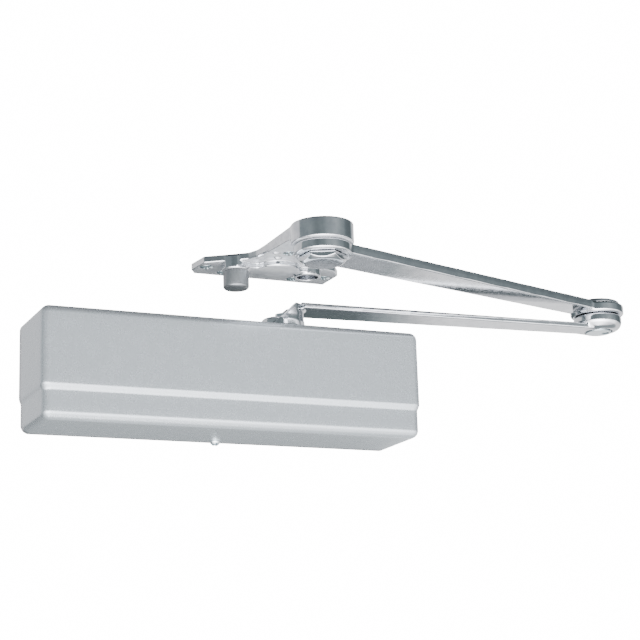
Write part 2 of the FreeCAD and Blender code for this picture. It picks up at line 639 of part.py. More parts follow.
def make_piston():
    """Piston with a window for the pinion; the rack stands on the window's front wall."""
    body = new_body("rack_piston")
    disc(body, "-spindle_out", 0, "bore_radius - piston_gap", "piston_left", "piston_right", "YZ_Plane")
    rack_line = "-spindle_out - pitch_radius"
    slab(body, [("window_left", f"{rack_line} - tooth_root"), ("window_right", f"{rack_line} - tooth_root"),
                ("window_right", "-spindle_out + pitch_radius + tooth_root"),
                ("window_left", "-spindle_out + pitch_radius + tooth_root")],
         "-bore_radius * 1.1", "bore_radius * 1.1", kind="Pocket")
    groove = new_sketch(body, "YZ_Plane", "piston_left + piston_land / 2 - ring_wire")
    add_circle(groove, "-spindle_out", 0, "bore_radius * 1.2")
    add_circle(groove, "-spindle_out", 0, "bore_radius - piston_gap - ring_wire * 2")
    extrude(body, groove, "ring_wire * 2", "Pocket")
    seat = "piston_right - ball_radius * 3"
    disc(body, "-spindle_out", 0, "ball_radius + ball_room", seat, "piston_right + over_cut", "YZ_Plane",
         "Pocket")
    disc(body, "-spindle_out", 0, "ball_radius * 0.6", "window_right - over_cut", "piston_right", "YZ_Plane",
         "Pocket")
    pitch = value("pi * tooth_module")
    half_foot = value(half_tooth("-tooth_root")) / pitch
    first = math.ceil((value("window_left") - value("spindle_right")) / pitch - 0.5 + half_foot)
    last = math.floor((value("window_right") - value("spindle_right")) / pitch - 0.5 - half_foot)
    start = f"spindle_right + ({first} + 0.5) * pi * tooth_module"
    foot, tip = half_tooth("-tooth_root"), half_tooth("tooth_tip")
    tooth = slab(body, [(f"{start} - {foot}", f"{rack_line} - tooth_root"),
                        (f"{start} - {tip}", f"{rack_line} + tooth_tip"),
                        (f"{start} + {tip}", f"{rack_line} + tooth_tip"),
                        (f"{start} + {foot}", f"{rack_line} - tooth_root")],
                 "-pinion_tall / 2", "pinion_tall / 2")
    rack = body.newObject("PartDesign::LinearPattern", "rack_teeth")
    rack.Originals = [tooth]
    rack.Direction = (tooth.Profile[0], ["H_Axis"])
    rack.Occurrences = last - first + 1
    rack.setExpression("Length", on_sheet(f"{last - first} * pi * tooth_module"))
    body.Tip = rack
    doc.recompute()
    place(body)
    seal = doc.addObject("Part::Torus", "piston_ring")
    seal.Label = "piston_ring"
    seal.setExpression("Radius1", on_sheet("bore_radius - piston_gap - ring_wire"))
    seal.setExpression("Radius2", on_sheet("ring_wire"))
    place(seal, "piston_left + piston_land / 2", "-spindle_out", 0, DOORWARD, 90)
    nodes.append(seal)
    ball = doc.addObject("Part::Sphere", "check_ball")
    ball.Label = "check_ball"
    ball.setExpression("Radius", on_sheet("ball_radius"))
    place(ball, f"{seat} + ball_radius", "-spindle_out")
    nodes.append(ball)
    ring("check_ball_retainer", "ball_radius * 0.5", "ball_radius + ball_room", "ball_radius * 2.1",
         "ball_radius * 3")
    place(nodes[-1], seat, "-spindle_out", 0, DOORWARD, 90)


def make_spring():
    """Closing spring between its seat and the piston, a swept round wire."""
    wire = value("spring_wire")
    mean = value("spring_mean")
    low = value("seat_left + seat_thick") + wire
    long = value("piston_left") - wire - low
    turns = value("spring_turns")
    helix = Part.makeHelix(long / turns, long, mean)
    lead = Vector(0, mean * 2 * math.pi, long / turns).normalize()
    section = Part.Wire(Part.makeCircle(wire, Vector(mean, 0, 0), lead))
    spring = doc.addObject("Part::Feature", "closing_spring")
    spring.Label = "closing_spring"
    spring.Shape = Part.Wire(helix.Edges).makePipeShell([section], True, True)
    spring.Placement = Placement(Vector(low, -value("spindle_out"), 0), Rotation(DOORWARD, 90))
    nodes.append(spring)


def make_power_screw():
    """Screw in the left plug that moves the spring's seat."""
    bore = "power_radius + running_gap"
    spigot = "spring_mean - spring_wire - spring_play"
    flange = "bore_radius - seat_gap"
    seat = turned("spring_seat", [(bore, 0), (flange, 0), (flange, "seat_land"), (spigot, "seat_land"),
                                  (spigot, "seat_thick"), (bore, "seat_thick")])
    place(seat, "seat_left", "-spindle_out", 0, DOORWARD, 90)
    head = "plug_thick + plug_flange"
    screw = new_body("power_screw")
    tail = "seat_room + seat_thick + power_tail"
    top = f"{head} + power_head_tall"
    turn_profile(screw, [(0, f"-({tail})"), ("power_radius", f"-({tail})"), ("power_radius", head),
                         ("power_head", head), ("power_head", top), (0, top)])
    socket = new_sketch(screw, "XY_Plane", f"{head} + power_floor")
    hexagon(socket, "power_socket")
    extrude(screw, socket, "over_cut", "Pocket")
    place(screw, "-plug_inner", "-spindle_out", 0, DOORWARD, -90)


def hexagon(sketch, half_flats):
    """Regular hexagon with two flats square to the sketch's upright axis."""
    side = f"({half_flats}) * 2 / sqrt(3)"
    add_outline(sketch, [(f"{side} / 2", f"-({half_flats})"), (side, 0), (f"{side} / 2", half_flats),
                         (f"-{side} / 2", half_flats), (f"-{side}", 0), (f"-{side} / 2", f"-({half_flats})")])


def make_valves():
    """Three regulating valves in the casting's front, each with its sealing ring."""
    for number, name in enumerate(("closing_valve", "latching_valve", "backcheck_valve")):
        body = new_body(name)
        reach = "valve_radius - running_gap"
        tip = "-valve_deep + valve_gap"
        low = f"{tip} + valve_cone"
        high = f"{low} + valve_ring_tall"
        turn_profile(body, [(0, tip), ("valve_tip", tip), ("valve_neck", low), ("valve_neck", high),
                            (reach, high), (reach, "-valve_sunk"), (0, "-valve_sunk")])
        end = "valve_radius * 1.2"
        slab(body, [(f"-{end}", "-valve_slot"), (end, "-valve_slot"), (end, "valve_slot"),
                    (f"-{end}", "valve_slot")], "-valve_sunk - valve_slot_deep", "over_cut", kind="Pocket")
        middle = f"valve_first + {number} * valve_step"
        place(body, middle, "-casting_face", "-valve_drop", ALONG, 90)
        ring(f"{name}_ring", "valve_neck", reach, low, high)
        place(nodes[-1], middle, "-casting_face", "-valve_drop", ALONG, 90)


# ---------------------------------------------------------------- main arm

def make_spindle():
    """Pinion and spindle in one piece, with a square drive and a tapped end on top."""
    body = new_body("pinion_spindle")
    tall = "pinion_tall / 2"
    neck = f"{tall} + pinion_shoulder"
    root = "pitch_radius - tooth_root"
    drive = "boss_end + nut_flange + drive_foot"
    tail = "-boss_end - spindle_tail"
    turn_profile(body, [(0, tail), ("shaft_radius", tail), ("shaft_radius", f"-({neck})"),
                        (root, f"-({neck})"), (root, neck), ("shaft_radius", neck), ("shaft_radius", drive),
                        (0, drive)])
    slab(body, square("arm_turn"), f"{drive} - root_depth", "hub_top")
    middle = "(pi * tooth_module / 4 - tooth_play / 4)"
    foot = f"({middle} + tooth_foot)"
    tip = f"({middle} - tooth_tip * tooth_lean)"
    buried = "-pitch_radius + tooth_root + root_depth"
    tooth = slab(body, [(f"-{foot}", buried), (f"-{middle}", "-pitch_radius"),
                        (f"-{tip}", "-pitch_radius - tooth_tip"), (tip, "-pitch_radius - tooth_tip"),
                        (middle, "-pitch_radius"), (foot, buried)], f"-{tall}", tall)
    teeth = body.newObject("PartDesign::PolarPattern", "pinion_teeth")
    teeth.Originals = [tooth]
    teeth.Axis = (tooth.Profile[0], ["N_Axis"])
    teeth.Angle = 360
    teeth.setExpression("Occurrences", on_sheet("tooth_count"))
    body.Tip = teeth
    doc.recompute()
    disc(body, 0, 0, "arm_screw_radius", "hub_top - arm_screw_long - root_depth", "hub_top + over_cut",
         kind="Pocket")
    place(body, "spindle_right", "-spindle_out")


def bar_section(half, bottom, side, top, crown):
    """Bar section with sloped shoulders beside a flat crown."""
    return [(f"-({half})", bottom), (half, bottom), (half, side), (f"{half} - ({crown})", top),
            (f"-({half}) + ({crown})", top), (f"-({half})", side)]


def make_main_arm():
    """Cranked lever: round hub, sloped neck, tapering bar and a round knuckle."""
    body = new_body("main_arm")
    body.AllowCompound = True
    low, high = "-hub_drop - hub_tall", "-hub_drop"
    disc(body, 0, 0, "hub_radius", low, "arm_side")
    slope = new_sketch(body, "XZ_Plane")
    add_outline(slope, [("-hub_radius * 2", high), ("neck_foot", high, "neck_round"),
                        ("neck_foot + hub_drop + arm_thick * 2", "arm_thick * 2"),
                        ("-hub_radius * 2", "arm_thick * 2")])
    cut = extrude(body, slope, "hub_radius * 3", "Pocket", both=True)
    rim = value(high)
    soften(body, cut, "hub_round",
           lambda edge: lies_at(edge, rim) and edge.CenterOfMass.x < value("neck_foot - hub_round"))
    knuckle = disc(body, "arm_span", 0, "knuckle_radius", 0, "knuckle_tall")
    beyond = value("arm_span / 2")
    knuckle = soften(body, knuckle, "knuckle_round",
                     lambda edge: lies_at(edge, 0) and edge.CenterOfMass.x > beyond)
    top = value("knuckle_tall")
    soften(body, knuckle, "knuckle_bevel", lambda edge: lies_at(edge, top))
    loft(body, [("hub_radius * 0.6", bar_section("arm_wide / 2", 0, "arm_side", "arm_thick", "arm_crown")),
                ("arm_span - knuckle_radius * 0.6",
                 bar_section("arm_slim / 2", 0, "arm_side", "arm_thick", "arm_crown"))])
    disc(body, "arm_span", 0, "pin_radius", "-over_cut", "knuckle_tall + over_cut", kind="Pocket")
    slab(body, square("0"), f"{low} - over_cut", f"{high} + over_cut", kind="Pocket")
    disc(body, 0, 0, "hub_recess", high, "arm_thick + over_cut", kind="Pocket")
    place(body, "spindle_right", "-spindle_out", "arm_level", UP, "arm_turn")
    ring("arm_washer", "arm_screw_radius", "arm_washer_radius", 0, "arm_washer_thick")
    place(nodes[-1], "spindle_right", "-spindle_out", "hub_top")
    screw = new_body("arm_screw")
    head = "arm_washer_thick + arm_screw_cap"
    turn_profile(screw, [(0, "-arm_screw_long"), ("arm_screw_radius", "-arm_screw_long"),
                         ("arm_screw_radius", "arm_washer_thick"), ("arm_screw_head", "arm_washer_thick"),
                         ("arm_screw_head", head), (0, head)])
    socket = new_sketch(screw, "XY_Plane", f"{head} - arm_socket_deep")
    hexagon(socket, "arm_socket")
    extrude(screw, socket, "over_cut", "Pocket")
    place(screw, "spindle_right", "-spindle_out", "hub_top")


def make_elbow():
    """Headed pin fixed in the main arm and the cap riveted over the forearm."""
    top = "fore_knuckle_top + elbow_cap_tall - arm_level - pin_sunk"
    turned("elbow_pin", [(0, "-pin_head_thick"), ("pin_head - pin_chamfer", "-pin_head_thick"),
                         ("pin_head", "-pin_head_thick + pin_chamfer"), ("pin_head", 0), ("pin_radius", 0),
                         ("pin_radius", top), (0, top)])
    place(nodes[-1], "elbow_x", "elbow_y", "arm_level")
    turned("elbow_cap", [("pin_radius", "float_gap"), ("elbow_cap_radius", "float_gap"),
                         ("elbow_cap_radius", "elbow_cap_rim"),
                         ("elbow_cap_radius - elbow_cap_bevel", "elbow_cap_tall"),
                         ("pin_radius", "elbow_cap_tall")])
    place(nodes[-1], "elbow_x", "elbow_y", "fore_knuckle_top")


# ---------------------------------------------------------------- forearm

def fore_section(half):
    """Forged bar section, widest along the parting line at half its height."""
    return [(f"-({half} - fore_bevel)", 0), (f"{half} - fore_bevel", 0), (half, "fore_thick / 2"),
            (f"{half} - fore_bevel", "fore_thick"), (f"-({half} - fore_bevel)", "fore_thick"),
            (f"-({half})", "fore_thick / 2")]


def make_forearm():
    """Flat forged lever with an eye at the bracket and a knuckle at the elbow."""
    body = new_body("forearm")
    loft(body, [("fore_eye * 0.5", fore_section("fore_wide / 2")),
                ("fore_span - fore_knuckle * 0.6", fore_section("fore_slim / 2"))])
    disc(body, 0, 0, "fore_eye", 0, "fore_eye_tall")
    disc(body, "fore_span", 0, "fore_knuckle", "-fore_lift", "fore_knuckle_tall - fore_lift")
    disc(body, "fore_span", 0, "elbow_cap_radius + elbow_cap_room", "fore_knuckle_tall - fore_lift",
         "fore_thick + over_cut", kind="Pocket")
    disc(body, 0, 0, "stud_radius + bush_wall", "-over_cut", "fore_eye_tall + over_cut", kind="Pocket")
    disc(body, "fore_span", 0, "pin_radius + bush_wall", "-fore_lift - over_cut", "fore_thick + over_cut",
         kind="Pocket")
    place(body, "pivot_x", "pivot_y", "fore_level", UP, "fore_turn")
    ring("elbow_bush", "pin_radius + running_gap", "pin_radius + bush_wall", "-fore_lift",
         "fore_knuckle_tall - fore_lift")
    place(nodes[-1], "elbow_x", "elbow_y", "fore_level")
    ring("pivot_bush", "stud_radius + running_gap", "stud_radius + bush_wall", 0, "fore_eye_tall")
    place(nodes[-1], "pivot_x", "pivot_y", "fore_level")


# ---------------------------------------------------------------- bracket

def make_bracket():
    """Stop bracket: boss, ribbed leg, wide plate and a pad with two stop positions."""
    body = new_body("soffit_bracket")
    plate = [("web_half", 0), ("web_half", "wing_root", "wing_root_round"),
             ("web_half + wing_bend", "plate_front - wing_bend_ahead", "wing_bend_round"),
             ("plate_half - wing_tip_in", "plate_front", "wing_tip_round"),
             ("plate_half", "plate_front + wing_side", "wing_tip_round"),
             ("plate_half - wing_back_in", "plate_back", "wing_tip_round")]
    slab(body, mirrored(plate), "-plate_thick", 0)
    disc(body, 0, 0, "bracket_boss", "-bracket_boss_tall", 0)
    roots = "-plate_thick + root_depth"
    for side in ("", "-"):
        rib = [(f"{side}(web_half - rib_wide)", 0), (f"{side}web_half", 0),
               (f"{side}web_half", "rib_end"), (f"{side}(web_half - rib_wide)", "rib_end")]
        slab(body, rib if not side else rib[::-1], "-pad_drop", roots)
    pad = [("stop_side - pad_shoulder", "stop_reach - pad_shoulder", "pad_corner"),
           ("stop_side", "stop_reach - pad_half"), ("stop_side", "stop_reach + pad_half"),
           ("stop_side - pad_shoulder", "stop_reach + pad_half")]
    slab(body, mirrored([(0, "stop_reach - pad_point", "pad_point_round")] + pad)[1:], "-pad_drop", roots)
    for side in ("", "-"):
        disc(body, f"{side}stop_side", "stop_reach", "stop_boss", "-pad_drop - stop_rim", roots)
    for side in ("", "-"):
        disc(body, f"{side}stop_side", "stop_reach", "stop_hole", "-pad_drop - stop_rim - over_cut",
             "-pad_drop + stop_hole_deep", kind="Pocket")
    disc(body, 0, 0, "stud_radius", "-bracket_boss_tall - over_cut", "-stud_roof", kind="Pocket")
    for x, y in SCREW_PLACES:
        disc(body, x, y, "screw_radius", "-plate_thick - over_cut", "over_cut", kind="Pocket")
        disc(body, x, y, "screw_head + screw_play", "-pad_drop - over_cut", "-plate_thick", kind="Pocket")
        disc(body, x, y, "screw_head", "-plate_thick", "-plate_thick + cone_tall", kind="Pocket", taper=-45)
    place(body, "pivot_x", "pivot_y", "bracket_top")


def make_frame_screws():
    """Five screws that hold the bracket under the frame, one group."""
    body = new_body("frame_screws")
    for x, y in SCREW_PLACES:
        disc(body, x, y, "screw_head", "-plate_thick", "-plate_thick + cone_tall", taper=-45)
        disc(body, x, y, "screw_radius", "-plate_thick", 0)
    place(body, "pivot_x", "pivot_y", "bracket_top")


def make_pivot():
    """Stud through the forearm's eye, its hexagonal cap and the washer above the eye."""
    low = "cap_level - cap_tall + cap_floor - bracket_top"
    turned("pivot_stud", [(0, low), ("stud_radius", low), ("stud_radius", "-stud_roof"), (0, "-stud_roof")])
    place(nodes[-1], "pivot_x", "pivot_y", "bracket_top")
    cap = new_body("pivot_cap")
    outline = new_sketch(cap, "XY_Plane", "-cap_tall")
    hexagon(outline, "cap_flats / 2")
    extrude(cap, outline, "cap_tall")
    corner = "cap_flats / sqrt(3)"
    turn_profile(cap, [("cap_face", "-cap_tall - over_cut"), (f"{corner} * 1.1", "-cap_tall - over_cut"),
                       (f"{corner} * 1.1", "-cap_tall + cap_bevel"), (corner, "-cap_tall + cap_bevel"),
                       ("cap_face", "-cap_tall")], "Groove")
    disc(cap, 0, 0, "stud_radius", "-cap_tall + cap_floor", "over_cut", kind="Pocket")
    place(cap, "pivot_x", "pivot_y", "cap_level", UP, "cap_turn")
    ring("pivot_washer", "stud_radius", "washer_radius", "washer_gap", "washer_thick")
    place(nodes[-1], "pivot_x", "pivot_y", "eye_top")


def make_stop():
    """Steel post in the left stop hole with a round bumper on it."""
    floor = "-bumper_deep + bumper_floor"
    brim = "-stop_rim - bumper_gap"
    peg = "stop_hole - post_gap"
    turned("stop_post", [(0, floor), ("post_radius", floor), ("post_radius", 0), (peg, 0),
                         (peg, "stop_hole_deep"), (0, "stop_hole_deep")])
    turned("stop_bumper", [(0, "-bumper_deep"), ("bumper_radius - bumper_bevel", "-bumper_deep"),
                           ("bumper_radius", "-bumper_deep + bumper_bevel"), ("bumper_radius", brim),
                           ("post_radius", brim), ("post_radius", floor), (0, floor)])
    for node in nodes[-2:]:
        place(node, "pivot_x - stop_side", "pivot_y + stop_reach", "bracket_top - pad_drop")


def export():
    """Check every object and write each piece to its own file."""
    doc.recompute()
    failed = [item.Name for item in doc.Objects if "Invalid" in item.State or "Error" in item.State]
    failed += [node.Label for node in nodes if node.Shape.isNull() or not node.Shape.isValid()]
    if failed:
        raise RuntimeError("these objects failed: " + ", ".join(failed))
    os.makedirs("parts", exist_ok=True)
    for node in nodes:
        node.Shape.exportStep(f"parts/{node.Label}.step")
        print(f"{node.Label}: {len(node.Shape.Solids)} solid, {node.Shape.Volume:.0f} mm3")


fill_sheet()
make_cover()
make_cover_fixings()
make_casting()
make_end_plugs()
make_spindle_stack()
make_piston()
make_spring()
make_power_screw()
make_valves()
make_spindle()
make_main_arm()
make_elbow()
make_forearm()
make_bracket()
make_frame_screws()
make_pivot()
make_stop()
export()
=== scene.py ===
"""Looks of an overhead door closer: a silver covered hydraulic body, a double lever arm and
a stop bracket. Lengths inside the sections are millimetres; meshes are handed over in metres."""

import json
import math

import bpy
import numpy as np
from mathutils import Matrix, Vector


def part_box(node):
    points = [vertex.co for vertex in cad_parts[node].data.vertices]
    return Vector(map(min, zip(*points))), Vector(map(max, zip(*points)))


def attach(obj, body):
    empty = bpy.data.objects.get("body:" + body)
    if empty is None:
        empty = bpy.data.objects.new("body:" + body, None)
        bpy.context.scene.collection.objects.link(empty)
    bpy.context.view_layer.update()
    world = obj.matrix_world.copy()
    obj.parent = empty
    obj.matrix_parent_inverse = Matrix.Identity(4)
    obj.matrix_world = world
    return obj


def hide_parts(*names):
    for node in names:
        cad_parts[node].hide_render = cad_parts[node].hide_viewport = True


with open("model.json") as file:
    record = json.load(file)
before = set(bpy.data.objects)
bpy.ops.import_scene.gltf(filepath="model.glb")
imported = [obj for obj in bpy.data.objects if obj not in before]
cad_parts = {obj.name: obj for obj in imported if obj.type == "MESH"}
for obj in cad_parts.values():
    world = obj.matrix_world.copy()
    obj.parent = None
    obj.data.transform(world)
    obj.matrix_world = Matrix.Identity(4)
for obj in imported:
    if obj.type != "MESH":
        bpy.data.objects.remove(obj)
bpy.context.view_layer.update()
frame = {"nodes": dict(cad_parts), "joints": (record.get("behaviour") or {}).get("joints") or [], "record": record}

# ---------------------------------------------------------------- viewpoint
# A long lens low to the left of the door, looking up at the arms, with a slight roll.
# The object fills the frame, and the floor stays far below it.

VIEW_TURN = math.radians(-24.55)
VIEW_TILT = math.radians(-14.35)
VIEW_ROLL = math.radians(-1.85)
EYE = Vector((-0.4961, -1.3082, -0.3007))
LENS = 97.36


def viewpoint():
    """Camera whose back points along (sin turn cos tilt, -cos turn cos tilt, sin tilt)."""
    back = Vector((math.sin(VIEW_TURN) * math.cos(VIEW_TILT),
                   -math.cos(VIEW_TURN) * math.cos(VIEW_TILT), math.sin(VIEW_TILT)))
    right = Vector((0, 0, 1)).cross(back).normalized()
    up = back.cross(right)
    rolled_right = right * math.cos(VIEW_ROLL) + up * math.sin(VIEW_ROLL)
    rolled_up = up * math.cos(VIEW_ROLL) - right * math.sin(VIEW_ROLL)
    camera = bpy.data.objects.new("camera", bpy.data.cameras.new("camera"))
    camera.data.lens = LENS
    camera.data.sensor_width = 36
    camera.data.clip_end = 50
    turn = Matrix((rolled_right, rolled_up, back)).transposed().to_4x4()
    camera.matrix_world = Matrix.Translation(EYE) @ turn
    bpy.context.scene.collection.objects.link(camera)
    bpy.context.scene.camera = camera


viewpoint()

# ---------------------------------------------------------------- room
# A white studio: very bright low down behind the viewer, softer walls, and a dark ceiling and
# far left corner, which is what the plated parts mirror. Two soft lamps, which they don't
# mirror, light the paint. The floor is a pale sheet well below the object.


def linear(code, alpha=1.0):
    """Colour from an sRGB hex code, each channel taken to linear light."""
    channels = [int(code[i:i + 2], 16) / 255 for i in (1, 3, 5)]
    return tuple(c / 12.92 if c < 0.04045 else ((c + 0.055) / 1.055) ** 2.4 for c in channels) + (alpha,)


def add(tree, kind, links=None, **settings):
    """Add one node. Settings name its properties or inputs; links map its inputs to outputs."""
    node = tree.nodes.new("ShaderNode" + kind)
    for key, setting in settings.items():
        if key in node.bl_rna.properties:
            setattr(node, key, setting)
        else:
            socket = int(key[1:]) if key[1:].isdigit() and key[0] == "i" else key.replace("_", " ").title()
            node.inputs[socket].default_value = setting
    for key, output in (links or {}).items():
        place = {"A": 6, "B": 7}.get(key, key) if kind == "Mix" else key
        tree.links.new(output, node.inputs[place])
    return node


def ramp(tree, source, stops):
    """Colour ramp through (place, grey or colour) stops."""
    node = add(tree, "ValToRGB", {"Fac": source})
    node.color_ramp.interpolation = "EASE"
    while len(node.color_ramp.elements) < len(stops):
        node.color_ramp.elements.new(0.5)
    for element, (place, tone) in zip(node.color_ramp.elements, stops):
        element.position = place
        element.color = (tone, tone, tone, 1) if isinstance(tone, (int, float)) else tone
    return node.outputs["Color"]


# The room, as light in each bearing (0 and 1 behind the viewer, 0.25 left, 0.5 beyond the
# object, 0.75 right): above the horizon, just below it, near the floor, and at the ceiling.
ABOVE = [(0.0, 0.30), (0.056, 0.25), (0.125, 0.38), (0.245, 0.38), (0.258, 1.05), (0.45, 1.3), (0.595, 1.2),
         (0.66, 0.20), (0.728, 0.24), (0.772, 0.38), (0.86, 0.60), (0.92, 0.50), (1.0, 0.30)]
BELOW = [(0.0, 13.0), (0.2, 1.2), (0.27, 0.18), (0.504, 0.18), (0.513, 1.6), (0.7, 1.4), (0.8, 3.5),
         (1.0, 13.0)]
LOW = [(0.0, 5.5), (0.22, 1.2), (0.3, 0.4), (0.7, 0.5), (0.78, 2.0), (1.0, 5.5)]
OVERHEAD = [(0.0, 0.10), (1.0, 0.10)]
BRIGHTEST = 13.0
# The upward part of the direction at which each ramp starts and ends its fade over the last.
FADES = [(-0.03, -0.08, BELOW), (-0.42, -0.62, LOW), (0.45, 0.8, OVERHEAD)]
DIM_TINT, PALE_TINT = (0.80, 0.95, 1.0, 1), (0.985, 0.98, 1.0, 1)
BACKDROP = 16.0


def room():
    """World light: the bearing ramps chosen by height. Dim parts are a little blue. The lens
    itself sees plain white."""
    world = bpy.data.worlds.new("white_studio")
    bpy.context.scene.world = world
    world.use_nodes = True
    tree = world.node_tree
    tree.nodes.clear()
    way = add(tree, "TexCoord").outputs["Generated"]
    turned = add(tree, "VectorRotate", {"Vector": way}, rotation_type="Z_AXIS", angle=-VIEW_TURN)
    axes = add(tree, "SeparateXYZ", {0: turned.outputs[0]}).outputs
    bearing = add(tree, "Math", {0: axes["X"], 1: axes["Y"]}, operation="ARCTAN2").outputs[0]
    share = add(tree, "MapRange", {"Value": bearing}, from_min=-math.pi, from_max=math.pi).outputs[0]

    def around(stops):
        return ramp(tree, share, [(place, tone / BRIGHTEST) for place, tone in stops])

    light = around(ABOVE)
    for start, end, stops in FADES:
        step = add(tree, "MapRange", {"Value": axes["Z"]}, from_min=start, from_max=end,
                   interpolation_type="SMOOTHSTEP")
        light = add(tree, "Mix", {0: step.outputs[0], "A": light, "B": around(stops)},
                    data_type="RGBA").outputs[2]
    tint = ramp(tree, light, [(0.014, DIM_TINT), (0.09, PALE_TINT)])
    tinted = add(tree, "Mix", {"A": light, "B": tint}, data_type="RGBA", blend_type="MULTIPLY", i0=1.0)
    glow = add(tree, "Background", {"Color": tinted.outputs[2]}, strength=BRIGHTEST)
    plain = add(tree, "Background", strength=BACKDROP)
    plain.inputs["Color"].default_value = (1, 1, 1, 1)
    seen = add(tree, "LightPath").outputs["Is Camera Ray"]
    both = add(tree, "MixShader", {0: seen, 1: glow.outputs[0], 2: plain.outputs[0]})
    add(tree, "OutputWorld", {"Surface": both.outputs[0]})


def lamp(name, spot, aim, size, power):
    """Square soft lamp at a place, facing another place."""
    light = bpy.data.lights.new(name, "AREA")
    light.energy = power
    light.size = size
    holder = bpy.data.objects.new(name, light)
    holder.location = spot
    holder.rotation_euler = (Vector(aim) - Vector(spot)).to_track_quat("-Z", "Y").to_euler()
    holder.visible_glossy = False
    bpy.context.scene.collection.objects.link(holder)


room()
lamp("key_light", spot=(0.3, -1.5, -0.42), aim=(0.1, 0, 0), size=0.6, power=16)
lamp("low_light", spot=(0.0, -0.28, -0.52), aim=(0.0, 0, 0), size=0.3, power=9)

FLOOR_LEVEL = -0.62
FLOOR_HALF = 1.5
sheet = bpy.data.meshes.new("floor")
sheet.from_pydata([(x * FLOOR_HALF, y * FLOOR_HALF, FLOOR_LEVEL) for x, y in
                   ((-1, -1), (1, -1), (1, 1), (-1, 1))], [], [(0, 1, 2, 3)])
floor = bpy.data.objects.new("floor", sheet)
bpy.context.scene.collection.objects.link(floor)
paper = bpy.data.materials.new("pale_floor")
paper.use_nodes = True
paper.node_tree.nodes["Principled BSDF"].inputs["Base Color"].default_value = linear("#F2F2F2")
paper.node_tree.nodes["Principled BSDF"].inputs["Roughness"].default_value = 0.8
floor.data.materials.append(paper)
floor.visible_glossy = False

# ---------------------------------------------------------------- cover
# The cover is a drawn shell, open against the door, sprayed satin silver. Its long edges are
# rounded, and a shallow S-shaped step runs round it a third of the way up. The shape runs on
# past the door before it is cut, so its back edge stays square.

COVER_LOW, COVER_HIGH = (corner * 1000 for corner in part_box("cover"))
COVER_ROUND = 6.6
COVER_WALL = 1.8
PAST_DOOR = 40
STEP_LOW, STEP_HIGH, STEP_DEPTH = 21.8, 28.0, 1.5
NOTCH_RADIUS, NOTCH_OPEN, NOTCH_HALF = 19.5, 20, 6
MM = 0.001


def metal(name, colour, roughness, metallic=1.0):
    """Start of a material: its Principled shader with the constants set, and its tree."""
    material = bpy.data.materials.new(name)
    material.use_nodes = True
    shader = material.node_tree.nodes["Principled BSDF"]
    shader.inputs["Base Color"].default_value = linear(colour)
    shader.inputs["Roughness"].default_value = roughness
    shader.inputs["Metallic"].default_value = metallic
    return material, material.node_tree, shader


def grain(tree, size_mm, detail=2.0, stretch=(1, 1, 1)):
    """Noise whose lumps are about size_mm across, stretched along an axis if asked."""
    place = add(tree, "TexCoord").outputs["Object"]
    scaled = add(tree, "Mapping", {"Vector": place}, scale=stretch)
    return add(tree, "TexNoise", {"Vector": scaled.outputs[0]}, scale=1000 / size_mm, detail=detail,
               roughness=0.55).outputs["Fac"]


def emboss(tree, shader, heights, depth_mm):
    """Bump the shader by a height pattern of a real depth."""
    bump = add(tree, "Bump", {"Height": heights}, strength=1.0, distance=depth_mm * MM)
    tree.links.new(bump.outputs[0], shader.inputs["Normal"])


def vary(tree, shader, socket, pattern, low, high):
    """Let one number of the shader wander between two values with a pattern."""
    span = add(tree, "MapRange", {"Value": pattern}, from_min=0.3, from_max=0.7, to_min=low, to_max=high)
    tree.links.new(span.outputs[0], shader.inputs[socket])


def silver_paint():
    """Sprayed silver: metal flake in a satin lacquer, with an orange peel of half a millimetre."""
    material, tree, shader = metal("satin_silver_paint", "#B8BEC3", 0.26, 0.65)
    flake = grain(tree, 0.55, 1.0)
    tone = ramp(tree, flake, [(0.3, linear("#B6BCC1")), (0.7, linear("#BEC4C9"))])
    tree.links.new(tone, shader.inputs["Base Color"])
    vary(tree, shader, "Roughness", grain(tree, 6.0), 0.24, 0.29)
    emboss(tree, shader, grain(tree, 1.1, 2.0), 0.0018)
    return material


def lines(*stretches):
    """Joined runs of evenly spaced numbers, each run (start, end, steps), without repeats."""
    return np.unique(np.round(np.concatenate([np.linspace(*run) for run in stretches]), 6))


def mesh_piece(name, points, faces, body, slot, material, *replaced):
    """Object from points in millimetres of the row frame, riding on a body."""
    mesh = bpy.data.meshes.new(name)
    mesh.from_pydata((np.asarray(points) * MM).tolist(), [], [tuple(int(i) for i in f) for f in faces])
    mesh.materials.append(material)
    mesh.shade_smooth()
    piece = bpy.data.objects.new(name, mesh)
    bpy.context.scene.collection.objects.link(piece)
    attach(piece, body)
    if replaced:
        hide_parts(*replaced)
    return piece


def grid_faces(rows, columns, flip=False):
    """Quads of a rows by columns grid of points."""
    start = (np.arange(rows - 1)[:, None] * columns + np.arange(columns - 1)).ravel()
    quads = np.stack([start, start + 1, start + columns + 1, start + columns], 1)
    return quads[:, ::-1] if flip else quads


def weld(points, faces, closeness=0.01):
    """Merge points that lie within a hundredth of a millimetre of each other."""
    keys = np.round(np.asarray(points) / closeness).astype(np.int64)
    _, first, back = np.unique(keys, axis=0, return_index=True, return_inverse=True)
    return np.asarray(points)[first], back.ravel()[np.asarray(faces)]


def cover_side(u, v, axes, fixed, flip):
    """One side of the shell's box as a grid over two line sets; the third number is fixed."""
    first, second = np.meshgrid(u, v, indexing="ij")
    grid = np.empty(first.shape + (3,))
    grid[..., axes[0]] = first
    grid[..., axes[1]] = second
    grid[..., 3 - axes[0] - axes[1]] = fixed
    return grid.reshape(-1, 3), grid_faces(len(u), len(v), flip)


